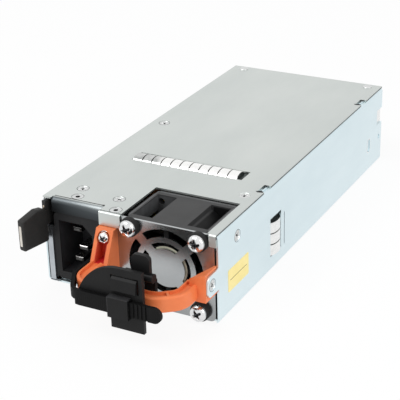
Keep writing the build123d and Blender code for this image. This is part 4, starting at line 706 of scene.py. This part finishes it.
# edge of the inlet's housing beside the tray
inlet_rim = bmesh.new()
plate(inlet_rim, rounded(-38.25, -37.0, 2.2, 26.4, 0.4), 2.75, 3.4, on_front())
piece("inlet_side_rim", inlet_rim, inlet_black)

# pale flange in the rear notch, and painted highlight: a pale ring for the lit pressed rim of the
# oblong
rear_flange = bmesh.new()
plate(rear_flange, rounded(178.6, 185.9, 20.5, 29.5, 0.4), 41.11, 41.18, on_wall())
piece("rear_notch_flange", rear_flange, spring_metal)
oblong_rim_highlight = bmesh.new()
band(oblong_rim_highlight, rounded(166.1, 169.9, 10.6, 17.4, 1.85), rounded(165.6, 170.4, 10.1, 17.9, 2.35),
     WALL_FACE + 0.004, WALL_FACE + 0.03, on_wall())
piece("oblong_rim_highlight", oblong_rim_highlight, spring_metal)

# painted highlights: pale lines along the edges on the top of the fan's frame
rim_highlights = bmesh.new()
for outline in RIM_HIGHLIGHT_OUTLINES:
    plate(rim_highlights, rounded(*outline), FAN_TOP + LINE_LOW, FAN_TOP + LINE_HIGH, on_cover())
piece("fan_rim_highlights", rim_highlights, rim_highlight_black)


# ---------------------------------------------------------------- stage
def visible_rays(tree):
    """1 for rays that see the background: camera, glossy and transmission rays."""
    path = tree.nodes.new("ShaderNodeLightPath")
    rays = path.outputs["Is Camera Ray"]
    for kind in ("Is Glossy Ray", "Is Transmission Ray"):
        either = tree.nodes.new("ShaderNodeMath")
        either.operation = "MAXIMUM"
        tree.links.new(rays, either.inputs[0])
        tree.links.new(path.outputs[kind], either.inputs[1])
        rays = either.outputs[0]
    return rays


def blend(tree, factor, first, second, output):
    """Mix two shaders into an output node."""
    mix = tree.nodes.new("ShaderNodeMixShader")
    out = tree.nodes.new(output)
    tree.links.new(factor, mix.inputs["Fac"])
    tree.links.new(first.outputs[0], mix.inputs[1])
    tree.links.new(second.outputs[0], mix.inputs[2])
    tree.links.new(mix.outputs[0], out.inputs["Surface"])


scene = bpy.context.scene
scene.view_settings.view_transform = "Standard"

# the world is seen white and lights the part at a lower strength
world = bpy.data.worlds.new("studio")
scene.world = world
world.use_nodes = True
tree = world.node_tree
tree.nodes.clear()
seen = tree.nodes.new("ShaderNodeBackground")
seen.inputs["Color"].default_value = (1.0, 1.0, 1.0, 1.0)
seen.inputs["Strength"].default_value = 1.0
soft = tree.nodes.new("ShaderNodeBackground")
soft.inputs["Color"].default_value = (0.98, 0.99, 1.0, 1.0)
soft.inputs["Strength"].default_value = 0.66
blend(tree, visible_rays(tree), soft, seen, "ShaderNodeOutputWorld")

# the floor is seen nearly white and keeps the part's shadow
FLOOR_WHITE = 0.90
FLOOR_HALF, FLOOR_Z = 4.0, -0.0002      # in metres
floor_mat = bpy.data.materials.new("pale_floor")
floor_mat.use_nodes = True
tree = floor_mat.node_tree
tree.nodes.clear()
matte = tree.nodes.new("ShaderNodeBsdfDiffuse")
matte.inputs["Color"].default_value = (0.90, 0.90, 0.90, 1.0)
glow = tree.nodes.new("ShaderNodeEmission")
glow.inputs["Strength"].default_value = 1.0
share = tree.nodes.new("ShaderNodeMath")
share.operation = "MULTIPLY"
share.inputs[1].default_value = FLOOR_WHITE
tree.links.new(visible_rays(tree), share.inputs[0])
blend(tree, share.outputs[0], matte, glow, "ShaderNodeOutputMaterial")

floor_mesh = bpy.data.meshes.new("floor")
floor_corners = ((-1, -1), (1, -1), (1, 1), (-1, 1))
floor_mesh.from_pydata([(sx * FLOOR_HALF, sy * FLOOR_HALF, FLOOR_Z) for sx, sy in floor_corners],
                       [], [(0, 1, 2, 3)])
floor = bpy.data.objects.new("floor", floor_mesh)
floor_mesh.materials.append(floor_mat)
scene.collection.objects.link(floor)


# ---------------------------------------------------------------- lamps and camera, in metres
def soft_box(name, place, target, size, power):
    """Square studio lamp aimed at a point."""
    lamp = bpy.data.lights.new(name, "AREA")
    lamp.shape = "SQUARE"
    lamp.size = size
    lamp.energy = power
    obj = bpy.data.objects.new(name, lamp)
    obj.location = place
    obj.rotation_euler = (Vector(target) - Vector(place)).to_track_quat("-Z", "Y").to_euler()
    scene.collection.objects.link(obj)


middle = (0.0, 0.07, 0.02)
soft_box("key", (-0.55, -0.75, 1.15), middle, 0.9, 9.0)
soft_box("fill", (1.25, -0.20, 0.75), middle, 0.9, 7.5)

# the photograph's camera, fitted to the object's edges
azimuth, elevation, roll = (math.radians(degrees) for degrees in (28.386, 25.036, -1.601))
eye = Vector((0.238276, -0.376884, 0.253769))
back = Vector((math.sin(azimuth) * math.cos(elevation), -math.cos(azimuth) * math.cos(elevation),
               math.sin(elevation)))
right = Vector((0, 0, 1)).cross(back).normalized()
up = back.cross(right)
tilt_right = math.cos(roll) * right + math.sin(roll) * up
tilt_up = -math.sin(roll) * right + math.cos(roll) * up
lens = bpy.data.cameras.new("camera")
lens.lens = 109.893
lens.sensor_width = 36.0
lens.clip_start = 0.05
lens.clip_end = 20.0
camera = bpy.data.objects.new("camera", lens)
pose = Matrix((tilt_right, tilt_up, back)).transposed().to_4x4()
pose.translation = eye
camera.matrix_world = pose
scene.collection.objects.link(camera)
scene.camera = camera
